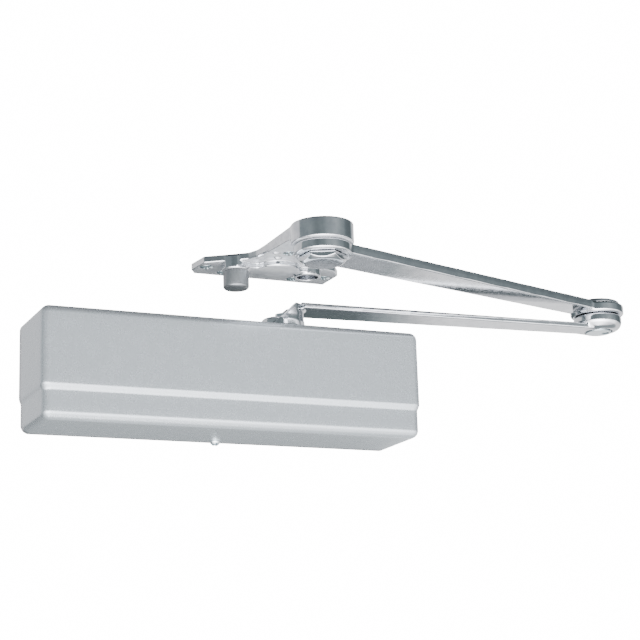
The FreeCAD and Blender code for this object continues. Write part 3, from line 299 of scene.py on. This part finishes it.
def cover_shape(radius):
    """Box grid pulled onto a rounded box: nearest point of the inner box plus the radius along
    the way out; then drawn in by the step, which fades in over the slope's height."""
    low = np.array(COVER_LOW)
    high = np.array(COVER_HIGH)
    high[1] = COVER_HIGH[1] + PAST_DOOR
    slope = (COVER_LOW[2] + STEP_LOW, COVER_LOW[2] + STEP_HIGH)
    xs = lines((low[0], low[0] + radius, 9), (low[0] + radius, high[0] - radius, 25),
               (high[0] - radius, high[0], 9))
    ys = lines((low[1], low[1] + radius, 9), (low[1] + radius, COVER_HIGH[1], 9))
    zs = lines((low[2], low[2] + radius, 9), (low[2] + radius, slope[0], 4), (slope[0], slope[1], 13),
               (slope[1], high[2] - radius, 10), (high[2] - radius, high[2], 9))
    sides = [cover_side(xs, zs, (0, 2), low[1], True), cover_side(ys, zs, (1, 2), low[0], False),
             cover_side(ys, zs, (1, 2), high[0], True), cover_side(xs, ys, (0, 1), low[2], False),
             cover_side(xs, ys, (0, 1), high[2], True)]
    points, faces, count = [], [], 0
    for side, quads in sides:
        points.append(side)
        faces.append(quads + count)
        count += len(side)
    points, faces = weld(np.concatenate(points), np.concatenate(faces))
    core = np.clip(points, low + radius, high - radius)
    way = points - core
    length = np.linalg.norm(way, axis=1, keepdims=True)
    points = core + way / np.maximum(length, 1e-9) * radius
    fade = np.clip((points[:, 2] - slope[0]) / (slope[1] - slope[0]), 0, 1)
    draw = STEP_DEPTH * (1 - fade * fade * (3 - 2 * fade))
    points[:, 0] *= 1 - draw / COVER_HIGH[0]
    points[:, 1] *= 1 - draw / (COVER_HIGH[1] - COVER_LOW[1])
    return points, faces


def apply_modifiers(piece):
    """Bake a piece's modifiers into its mesh."""
    bpy.context.view_layer.update()
    solid = bpy.data.meshes.new_from_object(piece.evaluated_get(bpy.context.evaluated_depsgraph_get()))
    piece.modifiers.clear()
    piece.data = solid


def spindle_notch(centre):
    """Cutter for the spindle notch: a U-shaped prism, round end at the spindle."""
    angles = np.linspace(math.pi, 2 * math.pi, 33)
    arc = np.stack([centre[0] + NOTCH_RADIUS * np.cos(angles), centre[1] + NOTCH_RADIUS * np.sin(angles)], 1)
    mouth = [(centre[0] + side * NOTCH_RADIUS, NOTCH_OPEN) for side in (1, -1)]
    plan = np.concatenate([arc, mouth])
    count = len(plan)
    levels = (COVER_HIGH[2] - NOTCH_HALF, COVER_HIGH[2] + NOTCH_HALF)
    points = np.concatenate([np.c_[plan, np.full(count, level)] for level in levels])
    ring = np.arange(count)
    after = np.roll(ring, -1)
    walls = [tuple(q) for q in np.stack([ring, after, after + count, ring + count], 1)]
    faces = walls + [tuple(ring[::-1]), tuple(ring + count)]
    mesh = bpy.data.meshes.new("notch")
    mesh.from_pydata((points * MM).tolist(), [], [tuple(int(i) for i in f) for f in faces])
    cutter = bpy.data.objects.new("notch", mesh)
    bpy.context.scene.collection.objects.link(cutter)
    return cutter


joint_place = {joint["name"]: np.array(joint["pos_m"]) * 1000
               for joint in frame["joints"] if "pos_m" in joint}
SPINDLE = joint_place["spindle_turn"]

points, faces = cover_shape(COVER_ROUND)
cover = mesh_piece("cover_shell", points, faces, "closer", "satin_silver_paint", silver_paint(), "cover")
wall = cover.modifiers.new("wall", "SOLIDIFY")
wall.thickness = COVER_WALL * MM
wall.offset = -1
wall.use_even_offset = True
notch = spindle_notch(SPINDLE)
cut = cover.modifiers.new("notch", "BOOLEAN")
cut.object = notch
cut.solver = "EXACT"
apply_modifiers(cover)
bpy.data.objects.remove(notch)

# ---------------------------------------------------------------- stop bracket
# One casting screwed under the frame: a thick boss round the pivot, a ribbed leg, wings, and a
# raised pad with two stop sockets, one of them in use. Like every piece with blended corners, it
# is a field that is negative inside, with a skin of small quads laid on the field's zero.


def rounded_join(outer, inner):
    """Distance to a corner where two distances meet: length of their positive parts."""
    return np.minimum(np.maximum(outer, inner), 0) + np.hypot(np.maximum(outer, 0), np.maximum(inner, 0))


def upright(plan, z, low, high, soft):
    """Plan outline raised between two levels, its rims rounded by soft."""
    return rounded_join(plan + soft, np.abs(z - (low + high) / 2) - (high - low) / 2 + soft) - soft


def blend(a, b, reach):
    """Union of two fields with a fillet of about reach: smooth minimum by a cubic."""
    near = np.maximum(reach - np.abs(a - b), 0) / reach
    return np.minimum(a, b) - near ** 3 * reach / 6


def carve(a, b, reach):
    """First field less the second, with the rim eased over reach."""
    return -blend(-a, b, reach)


def polygon(x, y, corners):
    """Distance to a closed outline: nearest edge, negative inside by the crossing rule."""
    best = np.full(x.shape, 1e18)
    inside = np.zeros(x.shape, bool)
    for (ax, ay), (bx, by) in zip(corners, corners[1:] + corners[:1]):
        dx, dy = bx - ax, by - ay
        t = np.clip(((x - ax) * dx + (y - ay) * dy) / (dx * dx + dy * dy), 0, 1)
        best = np.minimum(best, (x - ax - t * dx) ** 2 + (y - ay - t * dy) ** 2)
        crosses = (ay > y) != (by > y)
        inside ^= crosses & (x < (bx - ax) * (y - ay) / (by - ay if by != ay else 1) + ax)
    return np.where(inside, -1, 1) * np.sqrt(best)


def skin(field, low, high, cell):
    """Quads on a field's zero: one point in each grid cell that the zero crosses, at the mean
    of the crossings of its edges, then slid down the field's slope onto the zero."""
    axes = [np.arange(a - cell, b + cell * 2, cell) for a, b in zip(low, high)]
    grid = field(*np.meshgrid(*axes, indexing="ij"))
    inside = grid < 0
    cells = tuple(n - 1 for n in grid.shape)
    total = np.zeros(cells + (3,))
    hits = np.zeros(cells)
    corner = [(i, j, k) for i in (0, 1) for j in (0, 1) for k in (0, 1)]

    def at(c):
        return tuple(slice(o, o + n) for o, n in zip(c, cells))

    for a in corner:
        for axis in range(3):
            if a[axis]:
                continue
            b = tuple(o + (n == axis) for n, o in enumerate(a))
            va, vb = grid[at(a)], grid[at(b)]
            cross = inside[at(a)] != inside[at(b)]
            t = np.where(cross, va / np.where(cross, va - vb, 1), 0)
            hits += cross
            for n in range(3):
                total[..., n] += cross * (a[n] + (t if n == axis else 0))
    used = hits > 0
    number = np.full(cells, -1)
    number[used] = np.arange(used.sum())
    base = np.stack(np.nonzero(used), 1)
    points = (base + total[used] / hits[used][:, None]) * cell + np.array([a[0] for a in axes])
    quads = []
    for axis in range(3):
        side, other = (axis + 1) % 3, (axis + 2) % 3
        near = [slice(1, -1)] * 3
        near[axis] = slice(0, -1)
        far = [slice(1, -1)] * 3
        far[axis] = slice(1, None)
        starts, ends = inside[tuple(near)], inside[tuple(far)]
        for flip, hit in ((False, starts & ~ends), (True, ~starts & ends)):
            where = np.stack(np.nonzero(hit), 1)
            where[:, side] += 1
            where[:, other] += 1
            ring = []
            for ds, do in ((-1, -1), (0, -1), (0, 0), (-1, 0)):
                step = where.copy()
                step[:, side] += ds
                step[:, other] += do
                ring.append(number[tuple(step.T)])
            quads.append(np.stack(ring[::-1] if flip else ring, 1))
    quads = np.concatenate(quads)
    reach = cell * 0.05
    for _ in range(4):
        value = field(*points.T)
        rises = [field(*(points + reach * axis).T) - field(*(points - reach * axis).T) for axis in np.eye(3)]
        slope = np.stack(rises, 1) / (2 * reach)
        size = np.maximum((slope ** 2).sum(1), 0.25)
        points = points - np.clip(value / size, -cell, cell)[:, None] * slope * 0.9
    return points, quads


def placed(points, origin, turn=0.0):
    """Points of a piece's own frame turned about the upright axis and moved to the origin."""
    c, s = math.cos(turn), math.sin(turn)
    x, y, z = np.asarray(points).T
    return np.stack([x * c - y * s, x * s + y * c, z], 1) + origin


def rough_below(tree, shader, smooth, rough):
    """Leave the faces that look down as cast: rough and dull there, smooth on the sides."""
    facing = add(tree, "SeparateXYZ", {0: add(tree, "TexCoord").outputs["Normal"]}).outputs["Z"]
    for socket, below, beside in (("Roughness", rough, smooth), ("Metallic", 0.6, 1.0)):
        span = add(tree, "MapRange", {"Value": facing}, from_min=-0.95, from_max=-0.6, to_min=below,
                   to_max=beside)
        tree.links.new(span.outputs[0], shader.inputs[socket])


def plated(name, colour, wave_mm, rough):
    """Bright plate on tumbled steel: waves a few millimetres long, a fine grain and patchy
    polish."""
    material, tree, shader = metal(name, colour, rough)
    tone = ramp(tree, grain(tree, 9.0, 3.0), [(0.3, linear(colour)), (0.7, linear("#E0E2E5"))])
    tree.links.new(tone, shader.inputs["Base Color"])
    vary(tree, shader, "Roughness", grain(tree, 3.0, 3.0), rough - 0.03, rough + 0.05)
    waves = grain(tree, wave_mm, 1.0)
    fine = grain(tree, 0.5, 2.0)
    both = add(tree, "Math", {0: fine, 2: waves}, operation="MULTIPLY_ADD")
    both.inputs[1].default_value = 0.04
    emboss(tree, shader, both.outputs[0], 0.03)
    return material, tree, shader


forged = plated("plated_forging", "#CDD0D4", 9.0, 0.10)[0]
cast, cast_tree, cast_shader = plated("plated_casting", "#CBCED3", 7.0, 0.14)
rough_below(cast_tree, cast_shader, 0.14, 0.5)

PIVOT = joint_place["bracket_pivot"].copy()
PIVOT[2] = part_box("soffit_bracket")[1].z * 1000
BOSS_RADIUS, BOSS_TALL, BOSS_RIM, BOSS_FILLET = 24.5, 16.0, 1.2, 2.5
PLATE, PLATE_RIM = 6.0, 0.9
LEG_HALF, RIB_WIDE, RIB_FILLET = 22.0, 3.4, 2.2
RIB_MIDDLE, RIB_REACH = 40, 42
RIB_STATIONS, RIB_DEPTHS = [0, 20, 84], [11.0, 10.0, 6.5]
PAD, PAD_TOP, PAD_RIM, PAD_FILLET = 11.0, -1, 1.2, 1.6
PAD_X, PAD_Y, PAD_RADIUS, PAD_BLEND = 3, 97, 18, 8.0
BRIDGE_HALF, BRIDGE_BLEND = 8, 7.0
STOP_SIDE, STOP_REACH = 32.0, 102.0
STOP_HOLE, STOP_DEEP, STOP_ROOF, STOP_EASE = 9.0, 9, -2.0, 0.9
STOP_BOSS, BOSS_DROP, BOSS_ROOT, BOSS_EDGE = 11.3, 1.4, 2, 1.0
STEP_X, STEP_Y, STEP_RADIUS, STEP_TALL, STEP_EASE = 8, 124, 27, 0.9, 0.4
SPOTS, SPOT_RADIUS, SPOT_STRETCH = [(-6, 74), (-13, 61)], 2.2, 1.6
SCREWS = [(-51.5, 118.5), (54.5, 119), (-32.5, 129.5), (31, 130), (-1.5, 61)]
SCREW_HEAD, SCREW_SHANK, SEAT_ROOM, SEAT_DEEP, SEAT_EASE = 5.6, 2.8, 0.4, 0.6, 0.4
LEFT_WING = [(-1, 0), (-22, 0), (-22, 62), (-22.8, 76), (-27, 86.5), (-42, 97.5), (-57.5, 108),
             (-60, 131), (-55, 139)]
RIGHT_WING = [(63, 139), (63.5, 110), (56, 99), (44, 95), (29, 86), (24, 78), (22, 62), (22, 0)]


def bracket_field(x, y, z):
    """Plate, boss, ribs and pad blended together, less the sockets and screw seats, and cut
    flat at the top."""
    plan = polygon(x, y, LEFT_WING + RIGHT_WING)
    field = upright(plan, z, -PLATE, 0, PLATE_RIM)
    boss = upright(np.hypot(x, y) - BOSS_RADIUS, z, -BOSS_TALL, 0, BOSS_RIM)
    depth = np.interp(y, RIB_STATIONS, RIB_DEPTHS)
    across = np.abs(np.abs(x) - LEG_HALF + RIB_WIDE / 2) - RIB_WIDE / 2
    rib = np.maximum(np.maximum(across, np.abs(y - RIB_MIDDLE) - RIB_REACH), np.maximum(-z - depth, z))
    field = blend(field, rib, RIB_FILLET)
    field = blend(field, boss, BOSS_FILLET)
    from_stop = np.hypot(np.abs(x) - STOP_SIDE, y - STOP_REACH)
    middle = np.hypot(x - PAD_X, y - PAD_Y) - PAD_RADIUS
    bridge = np.maximum(np.abs(x) - STOP_SIDE, np.abs(y - STOP_REACH) - BRIDGE_HALF)
    pad = blend(blend(from_stop - STOP_BOSS, middle, PAD_BLEND), bridge, BRIDGE_BLEND)
    field = blend(field, upright(pad, z, -PAD, PAD_TOP, PAD_RIM), PAD_FILLET)
    sockets = upright(from_stop - STOP_BOSS, z, -PAD - BOSS_DROP, -PAD + BOSS_ROOT, BOSS_EDGE)
    field = blend(field, sockets, 0.8)
    step = upright(np.hypot(x - STEP_X, y - STEP_Y) - STEP_RADIUS, z, -PAD - 0.2, -PAD + STEP_TALL, 0.1)
    field = carve(field, np.maximum(step, STOP_BOSS + 0.5 - from_stop), STEP_EASE)
    hole = upright(from_stop - STOP_HOLE, z, -PAD - STOP_DEEP, STOP_ROOF, 0.3)
    field = carve(field, hole, STOP_EASE)
    for sx, sy in SPOTS:
        spot = np.sqrt(((x - sx) / SPOT_STRETCH) ** 2 + (y - sy) ** 2 + (z + PLATE) ** 2) - SPOT_RADIUS
        field = blend(field, spot, 1.0)
    for sx, sy in SCREWS:
        seat = np.maximum(np.hypot(x - sx, y - sy) - SCREW_HEAD - SEAT_ROOM, z + PLATE - SEAT_DEEP)
        field = carve(field, seat, SEAT_EASE)
    return np.maximum(field, z)


points, faces = skin(bracket_field, (-63, -26, -17), (66, 141, 1), 0.7)
mesh_piece("bracket_casting", placed(points, PIVOT), faces, "bracket", "plated_casting", cast,
           "soffit_bracket")

# ---------------------------------------------------------------- bracket screws
# Five oval-headed zinc plated screws with a cross recess hold the bracket under the frame.

OVAL_CENTRE, OVAL_RADIUS = 15, 16.1
CROSS_HALF, CROSS_REACH, CROSS_DEEP, CROSS_SLOPE, CROSS_EASE = 0.75, 3.1, 0.6, 0.4, 0.3


def plain_metal(name, colour, other, rough, grain_mm, depth_mm, metallic=1.0, stretch=(1, 1, 1)):
    """Metal or rubber with two tones, patchy roughness and a surface grain of real size."""
    material, tree, shader = metal(name, colour, rough, metallic)
    pattern = grain(tree, grain_mm, 3.0, stretch)
    tone = ramp(tree, pattern, [(0.35, linear(colour)), (0.65, linear(other))])
    tree.links.new(tone, shader.inputs["Base Color"])
    vary(tree, shader, "Roughness", pattern, rough - 0.06, rough + 0.06)
    emboss(tree, shader, pattern, depth_mm)
    return material


def cross_recess(x, y, reach):
    """Plan of a cross recess: two bars across each other."""
    bars = [np.maximum(np.abs(a) - CROSS_HALF, np.abs(b) - reach) for a, b in ((x, y), (y, x))]
    return np.minimum(*bars)


def screw_field(x, y, z):
    """Oval countersunk head with a cross recess, on a plain shank; z runs up into the plate."""
    out = np.hypot(x, y)
    oval = np.sqrt(x * x + y * y + (z - OVAL_CENTRE) ** 2) - OVAL_RADIUS
    head = np.maximum(oval, (out + z - SCREW_HEAD) / math.sqrt(2))
    head = np.minimum(np.maximum(head, z - PLATE), upright(out - SCREW_SHANK, z, 0, PLATE, 0.2))
    recess = np.maximum(cross_recess(x, y, CROSS_REACH), z - CROSS_DEEP + out * CROSS_SLOPE)
    return carve(head, recess, CROSS_EASE)


points, faces = skin(screw_field, (-6, -6, -2), (6, 6, 6), 0.35)
count = len(points)
heads = np.concatenate([points + (sx, sy, -PLATE) for sx, sy in SCREWS])
zinc = plain_metal("bright_zinc", "#C6D6DC", "#E2EAEC", 0.18, 1.5, 0.01)
faces = np.concatenate([faces + count * n for n in range(len(SCREWS))])
mesh_piece("frame_screw_heads", placed(heads, PIVOT), faces, "bracket", "zinc_steel", zinc, "frame_screws")

# ---------------------------------------------------------------- bumper
# The bumper is a turned steel cup with a rounded lower rim, satin finished.


def eased(corners):
    """Profile through (radius, height, rounding) corners, each rounding an arc of nine points."""
    path = []
    for n, (r, z, soft) in enumerate(corners):
        here = np.array((r, z), float)
        if soft == 0:
            path.append(here)
            continue
        back = np.array(corners[n - 1][:2], float) - here
        on = np.array(corners[n + 1][:2], float) - here
        back, on = back / np.linalg.norm(back), on / np.linalg.norm(on)
        half = math.acos(np.clip(back @ on, -1, 1)) / 2
        middle = here + (back + on) / np.linalg.norm(back + on) * soft / math.sin(half)
        start, end = here + back * soft / math.tan(half) - middle, here + on * soft / math.tan(half) - middle
        for t in np.linspace(0, 1, 9):
            way = start * (1 - t) + end * t
            path.append(middle + way / np.linalg.norm(way) * soft)
    return np.array(path)


def revolved(corners, steps=96):
    """Closed solid of revolution. The profile runs from the axis at the bottom to the axis at
    the top, and each end is one point."""
    path = eased(corners)
    angles = np.linspace(0, 2 * math.pi, steps, endpoint=False)
    rings = path[1:-1]
    points = np.stack([np.outer(rings[:, 0], np.cos(angles)), np.outer(rings[:, 0], np.sin(angles)),
                       np.repeat(rings[:, 1:], steps, 1)], 2).reshape(-1, 3)
    points = np.concatenate([points, [(0, 0, path[0, 1]), (0, 0, path[-1, 1])]])
    ring = np.arange(steps)
    on = np.roll(ring, -1)
    last = (len(rings) - 1) * steps
    faces = [tuple(q) for start in range(0, last, steps) for q in
             np.stack([ring + start, on + start, on + start + steps, ring + start + steps], 1)]
    faces += [(on[n], ring[n], last + steps) for n in range(steps)]
    faces += [(ring[n] + last, on[n] + last, last + steps + 1) for n in range(steps)]
    return points, faces


def middle_of(node):
    """Plan centre, low and high levels, and half width of a node, in millimetres."""
    low, high = (np.array(corner) * 1000 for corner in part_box(node))
    return (low[:2] + high[:2]) / 2, low[2], high[2], (high[0] - low[0]) / 2


BUMPER_ROUND, BUMPER_EDGE = 2.2, 0.5
satin = plain_metal("satin_steel", "#84888B", "#909497", 0.34, 0.8, 0.01, 0.75, (1, 1, 6))
place, low, high, half = middle_of("stop_bumper")
points, faces = revolved([(0, low, 0), (half, low, BUMPER_ROUND), (half, high, BUMPER_EDGE), (0, high, 0)])
mesh_piece("bumper_cup", points + (place[0], place[1], 0), faces, "bracket", "satin_steel", satin,
           "stop_bumper")

# ---------------------------------------------------------------- cap nut
# The cap nut on the pivot is a low plated hexagon whose corners are turned away in one bevel.

place, low, high, half = middle_of("pivot_cap")
CAP_FLATS, CAP_FACE, CAP_TURN, CAP_EDGE = 33.3, 15.4, math.radians(-24.7), 0.8
CAP_TALL = high - low
CAP_SLOPE = (CAP_FLATS / math.sqrt(3) - CAP_FACE, 3.4)


def cap_field(x, y, z):
    """Hexagon prism, its lower corners turned to a cone, its edges softened."""
    out = np.hypot(x, y)
    flats = np.maximum(np.abs(y), np.abs(x) * math.cos(math.pi / 6) + np.abs(y) / 2) - CAP_FLATS / 2
    cone = ((out - CAP_FACE) * CAP_SLOPE[1] - z * CAP_SLOPE[0]) / math.hypot(*CAP_SLOPE)
    sides, ends = np.maximum(flats, cone), np.maximum(-z, z - CAP_TALL)
    return rounded_join(sides + CAP_EDGE, ends + CAP_EDGE) - CAP_EDGE


points, faces = skin(cap_field, (-20, -20, 0), (20, 20, CAP_TALL), 0.5)
mesh_piece("pivot_cap_nut", placed(points, (place[0], place[1], low), CAP_TURN), faces, "bracket",
           "plated_forging", forged, "pivot_cap")

# ---------------------------------------------------------------- cover screw
# One round-headed zinc screw with a cross recess draws the cover up to its clip from below.

place, low, high, half = middle_of("cover_screw")
DOME, DOME_SHANK = 4.2, 2.0
DOME_CROSS_REACH, DOME_CROSS_DEEP = 3.4, 2.2


def cover_screw_field(x, y, z):
    """Round head: a ball cut flat at its seat, with a deep cross recess, and a shank."""
    out = np.hypot(x, y)
    ball = np.maximum(np.sqrt((out / half) ** 2 + ((z - DOME) / DOME) ** 2) * DOME - DOME, z - DOME)
    shank = upright(out - DOME_SHANK, z, DOME - 1, high - low, 0.2)
    recess = np.maximum(cross_recess(x, y, DOME_CROSS_REACH), z - DOME_CROSS_DEEP)
    return np.minimum(carve(ball, recess, CROSS_EASE), shank)


points, faces = skin(cover_screw_field, (-5, -5, 0), (5, 5, high - low), 0.3)
mesh_piece("cover_screw_head", points + (place[0], place[1], low), faces, "closer", "zinc_steel", zinc,
           "cover_screw")

# ---------------------------------------------------------------- main arm
# The main arm is one forging: a round hub on the spindle, a neck that climbs at 45 degrees,
# a bar that narrows towards the elbow, and a round knuckle that holds the elbow pin.

ELBOW = joint_place["elbow"]
ARM_LEVEL = 62.5
ARM_SPAN = float(np.hypot(*(ELBOW - SPINDLE)[:2]))
ARM_TURN = math.atan2(ELBOW[1] - SPINDLE[1], ELBOW[0] - SPINDLE[0])
HUB_RADIUS, HUB_LOW, HUB_TOP = 17.6, -16.5, -7.6
RISER_START, HUB_FILLET = 5.5, 4.0
ARM_SIDE, ARM_CROWN, CROWN_SLOPE, ARM_EDGE, ARM_FILLET = 4.0, 6.5, 0.35, 0.7, 3.5
ARM_WIDE_END, ARM_NARROW_END, TAPER_STOP = 16.8, 11.6, 12
KNUCKLE_RADIUS, KNUCKLE_TALL, KNUCKLE_ROUND, KNUCKLE_EDGE, KNUCKLE_FILLET = 21.0, 13.2, 7.8, 2.4, 3.0
RECESS_RADIUS, RECESS_EASE = 9.6, 0.8
PIN_HEAD, PIN_ROOM, PIN_SEAT, PIN_EASE = 11.5, 0.5, 1.0, 0.6


def knuckle_field(x, y, z):
    """Round knuckle: a large rounding below, a small one above."""
    plan = np.hypot(x, y) - KNUCKLE_RADIUS
    below = upright(plan, z, 0, KNUCKLE_TALL * 2, KNUCKLE_ROUND)
    above = upright(plan, z, -KNUCKLE_TALL, KNUCKLE_TALL, KNUCKLE_EDGE)
    return np.maximum(below, above)


def main_arm_field(x, y, z):
    """Hub, sloped riser, bar and knuckle blended into one forging."""
    round_hub = np.hypot(x, y) - HUB_RADIUS
    hub = upright(round_hub, z, HUB_LOW, HUB_TOP + 1.2 - np.hypot(x + 4, y) ** 2 / 160, 1.8)
    column = upright(round_hub, z, HUB_LOW, ARM_SIDE + 0.6, 1.2)
    hub = blend(hub, np.maximum(column, (z - HUB_TOP - x - RISER_START) / math.sqrt(2)), HUB_FILLET)
    half = np.interp(x, [0, ARM_SPAN - TAPER_STOP], [ARM_WIDE_END, ARM_NARROW_END])
    top = np.minimum(ARM_SIDE + (half - np.abs(y)) * CROWN_SLOPE, ARM_CROWN)
    sides = np.maximum(np.abs(y) - half, np.abs(x - ARM_SPAN / 2 - 4) - ARM_SPAN / 2 + 10)
    bar = rounded_join(sides + ARM_EDGE, np.maximum(-z, z - top) + ARM_EDGE) - ARM_EDGE
    field = blend(hub, bar, ARM_FILLET)
    field = blend(field, knuckle_field(x - ARM_SPAN, y, z), KNUCKLE_FILLET)
    recess = np.maximum(np.hypot(x, y) - RECESS_RADIUS, HUB_TOP - 0.4 - z)
    seat = np.maximum(np.hypot(x - ARM_SPAN, y) - PIN_HEAD - PIN_ROOM, z - PIN_SEAT)
    return carve(carve(field, recess, RECESS_EASE), seat, PIN_EASE)


points, faces = skin(main_arm_field, (-18.5, -22, -17), (ARM_SPAN + 22, 22, 14), 0.8)
mesh_piece("main_arm_forging", placed(points, (SPINDLE[0], SPINDLE[1], ARM_LEVEL), ARM_TURN), faces,
           "main_arm", "plated_forging", forged, "main_arm")

# ---------------------------------------------------------------- elbow pin and cap
# The pin is bright zinc: a flat head with a shallow dimple off its centre. Its cap above the
# forearm is a low plated dome.

place, low, high, half = middle_of("elbow_pin")
PIN_SHANK, PIN_HEAD_TALL, PIN_ROUND = 8.0, 1.3, 0.5
DIMPLE, DIMPLE_RADIUS = (5.2, -2.6, -8.0), 8.9


def pin_field(x, y, z):
    """Shank and head, less a round dimple near the head's edge."""
    head = upright(np.hypot(x, y) - PIN_HEAD, z, 0, PIN_HEAD_TALL, PIN_ROUND)
    shank = upright(np.hypot(x, y) - PIN_SHANK, z, 0.2, high - low, PIN_ROUND)
    dimple = np.sqrt((x - DIMPLE[0]) ** 2 + (y - DIMPLE[1]) ** 2 + (z - DIMPLE[2]) ** 2) - DIMPLE_RADIUS
    return carve(np.minimum(head, shank), dimple, 0.3)


points, faces = skin(pin_field, (-12, -12, 0), (12, 12, high - low), 0.5)
mesh_piece("elbow_pin_head", points + (place[0], place[1], low), faces, "main_arm", "zinc_steel", zinc,
           "elbow_pin")

place, low, high, half = middle_of("elbow_cap")
top = high - low
points, faces = revolved([(0, 0, 0), (half, 0, 0.3), (half, 2.4, 2.0), (half - 3.4, top - 0.3, 3.0),
                          (8.6, top, 0.5), (8.2, top - 0.7, 0.3), (0, top - 0.7, 0)])
mesh_piece("elbow_cap_dome", points + (place[0], place[1], low), faces, "main_arm", "plated_forging", forged,
           "elbow_cap")

# ---------------------------------------------------------------- forearm
# The forearm is a flat drop forging: its sides keep the ridge of the die's parting line, with
# an eye at the bracket and a thick knuckle at the elbow.

FORE_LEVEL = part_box("pivot_bush")[0].z * 1000
FORE_SPAN = float(np.hypot(*(ELBOW - PIVOT)[:2]))
FORE_TURN = math.atan2(ELBOW[1] - PIVOT[1], ELBOW[0] - PIVOT[0])
FORE_THICK, FORE_RIDGE, FORE_EDGE = 8.0, 0.5, 0.5
FORE_WIDE_END, FORE_NARROW_END = 18.2, 12.8
EYE_RADIUS, EYE_TALL, EYE_ROUND, EYE_FILLET = 22.7, 8.5, 1.8, 2.0
FORE_KNUCKLE, FORE_DROP, FORE_KNUCKLE_TOP, FORE_ROUND, FORE_FILLET = 23.4, 2.4, 6.7, 2.2, 3.0
GROOVE_RADIUS, GROOVE_DEEP = 20.2, 0.45
BUSH_RADIUS = 10.5


def forearm_field(x, y, z):
    """Ridged bar, eye and knuckle blended, less the two bush holes."""
    half = np.interp(x, [0, FORE_SPAN - TAPER_STOP], [FORE_WIDE_END, FORE_NARROW_END])
    ridge = half - FORE_RIDGE * np.abs(z - FORE_THICK / 2) / (FORE_THICK / 2)
    sides = np.maximum((np.abs(y) - ridge) * 0.99, np.abs(x - FORE_SPAN / 2) - FORE_SPAN / 2 + 6)
    bar = rounded_join(sides + FORE_EDGE, np.abs(z - FORE_THICK / 2) - FORE_THICK / 2 + FORE_EDGE) - FORE_EDGE
    eye = upright(np.hypot(x, y) - EYE_RADIUS, z, 0, EYE_TALL, EYE_ROUND)
    knuckle = upright(np.hypot(x - FORE_SPAN, y) - FORE_KNUCKLE, z, -FORE_DROP, FORE_KNUCKLE_TOP, FORE_ROUND)
    field = blend(blend(bar, eye, EYE_FILLET), knuckle, FORE_FILLET)
    groove = np.hypot(np.hypot(x, y) - GROOVE_RADIUS, z) - GROOVE_DEEP
    field = carve(field, groove, 0.3)
    for middle in (0, FORE_SPAN):
        field = carve(field, np.hypot(x - middle, y) - BUSH_RADIUS, 0.4)
    return field


points, faces = skin(forearm_field, (-24, -25, -3), (FORE_SPAN + 25, 25, 9), 0.8)
mesh_piece("forearm_forging", placed(points, (PIVOT[0], PIVOT[1], FORE_LEVEL), FORE_TURN), faces, "forearm",
           "plated_forging", forged, "forearm")

# ---------------------------------------------------------------- inside pieces
# The casting, piston, valves, bearings and seals behind and between the arms keep their CAD
# meshes. Cast iron is dark and sandy, turned steel has fine tool marks along its length, ground
# bearing steel is smoother, spring wire is nearly black, and the rubber is matt.

finishes = {
    "zinc_steel": zinc,
    "zinc_sheet": plain_metal("zinc_sheet", "#A9ADAF", "#C3C6C8", 0.35, 4.0, 0.01),
    "cast_iron": plain_metal("cast_iron", "#3D3F41", "#55575A", 0.62, 1.6, 0.12, 0.8),
    "turned_steel": plain_metal("turned_steel", "#8D9194", "#A8ACAF", 0.3, 0.6, 0.01, 1.0, (1, 1, 5)),
    "bearing_steel": plain_metal("bearing_steel", "#A3A7AA", "#BFC3C6", 0.2, 0.8, 0.005),
    "spring_steel": plain_metal("tempered_spring", "#2C2D30", "#45474B", 0.38, 2.0, 0.01),
    "valve_brass": plain_metal("turned_brass", "#C9A04F", "#DDB970", 0.28, 0.8, 0.01),
    "bronze": plain_metal("sintered_bronze", "#9A6B3A", "#B7854C", 0.42, 0.7, 0.02),
    "black_rubber": plain_metal("nitrile_rubber", "#151515", "#222222", 0.6, 1.0, 0.02, 0.0),
    "satin_steel": satin,
    "plated_forging": forged,
    "plated_casting": cast,
    "satin_silver_paint": cover.data.materials[0],
}
for part in frame["record"]["subparts"]:
    node = frame["nodes"].get(part["node"])
    if node:
        node.data.materials.clear()
        node.data.materials.append(finishes[part["material_slot"]])
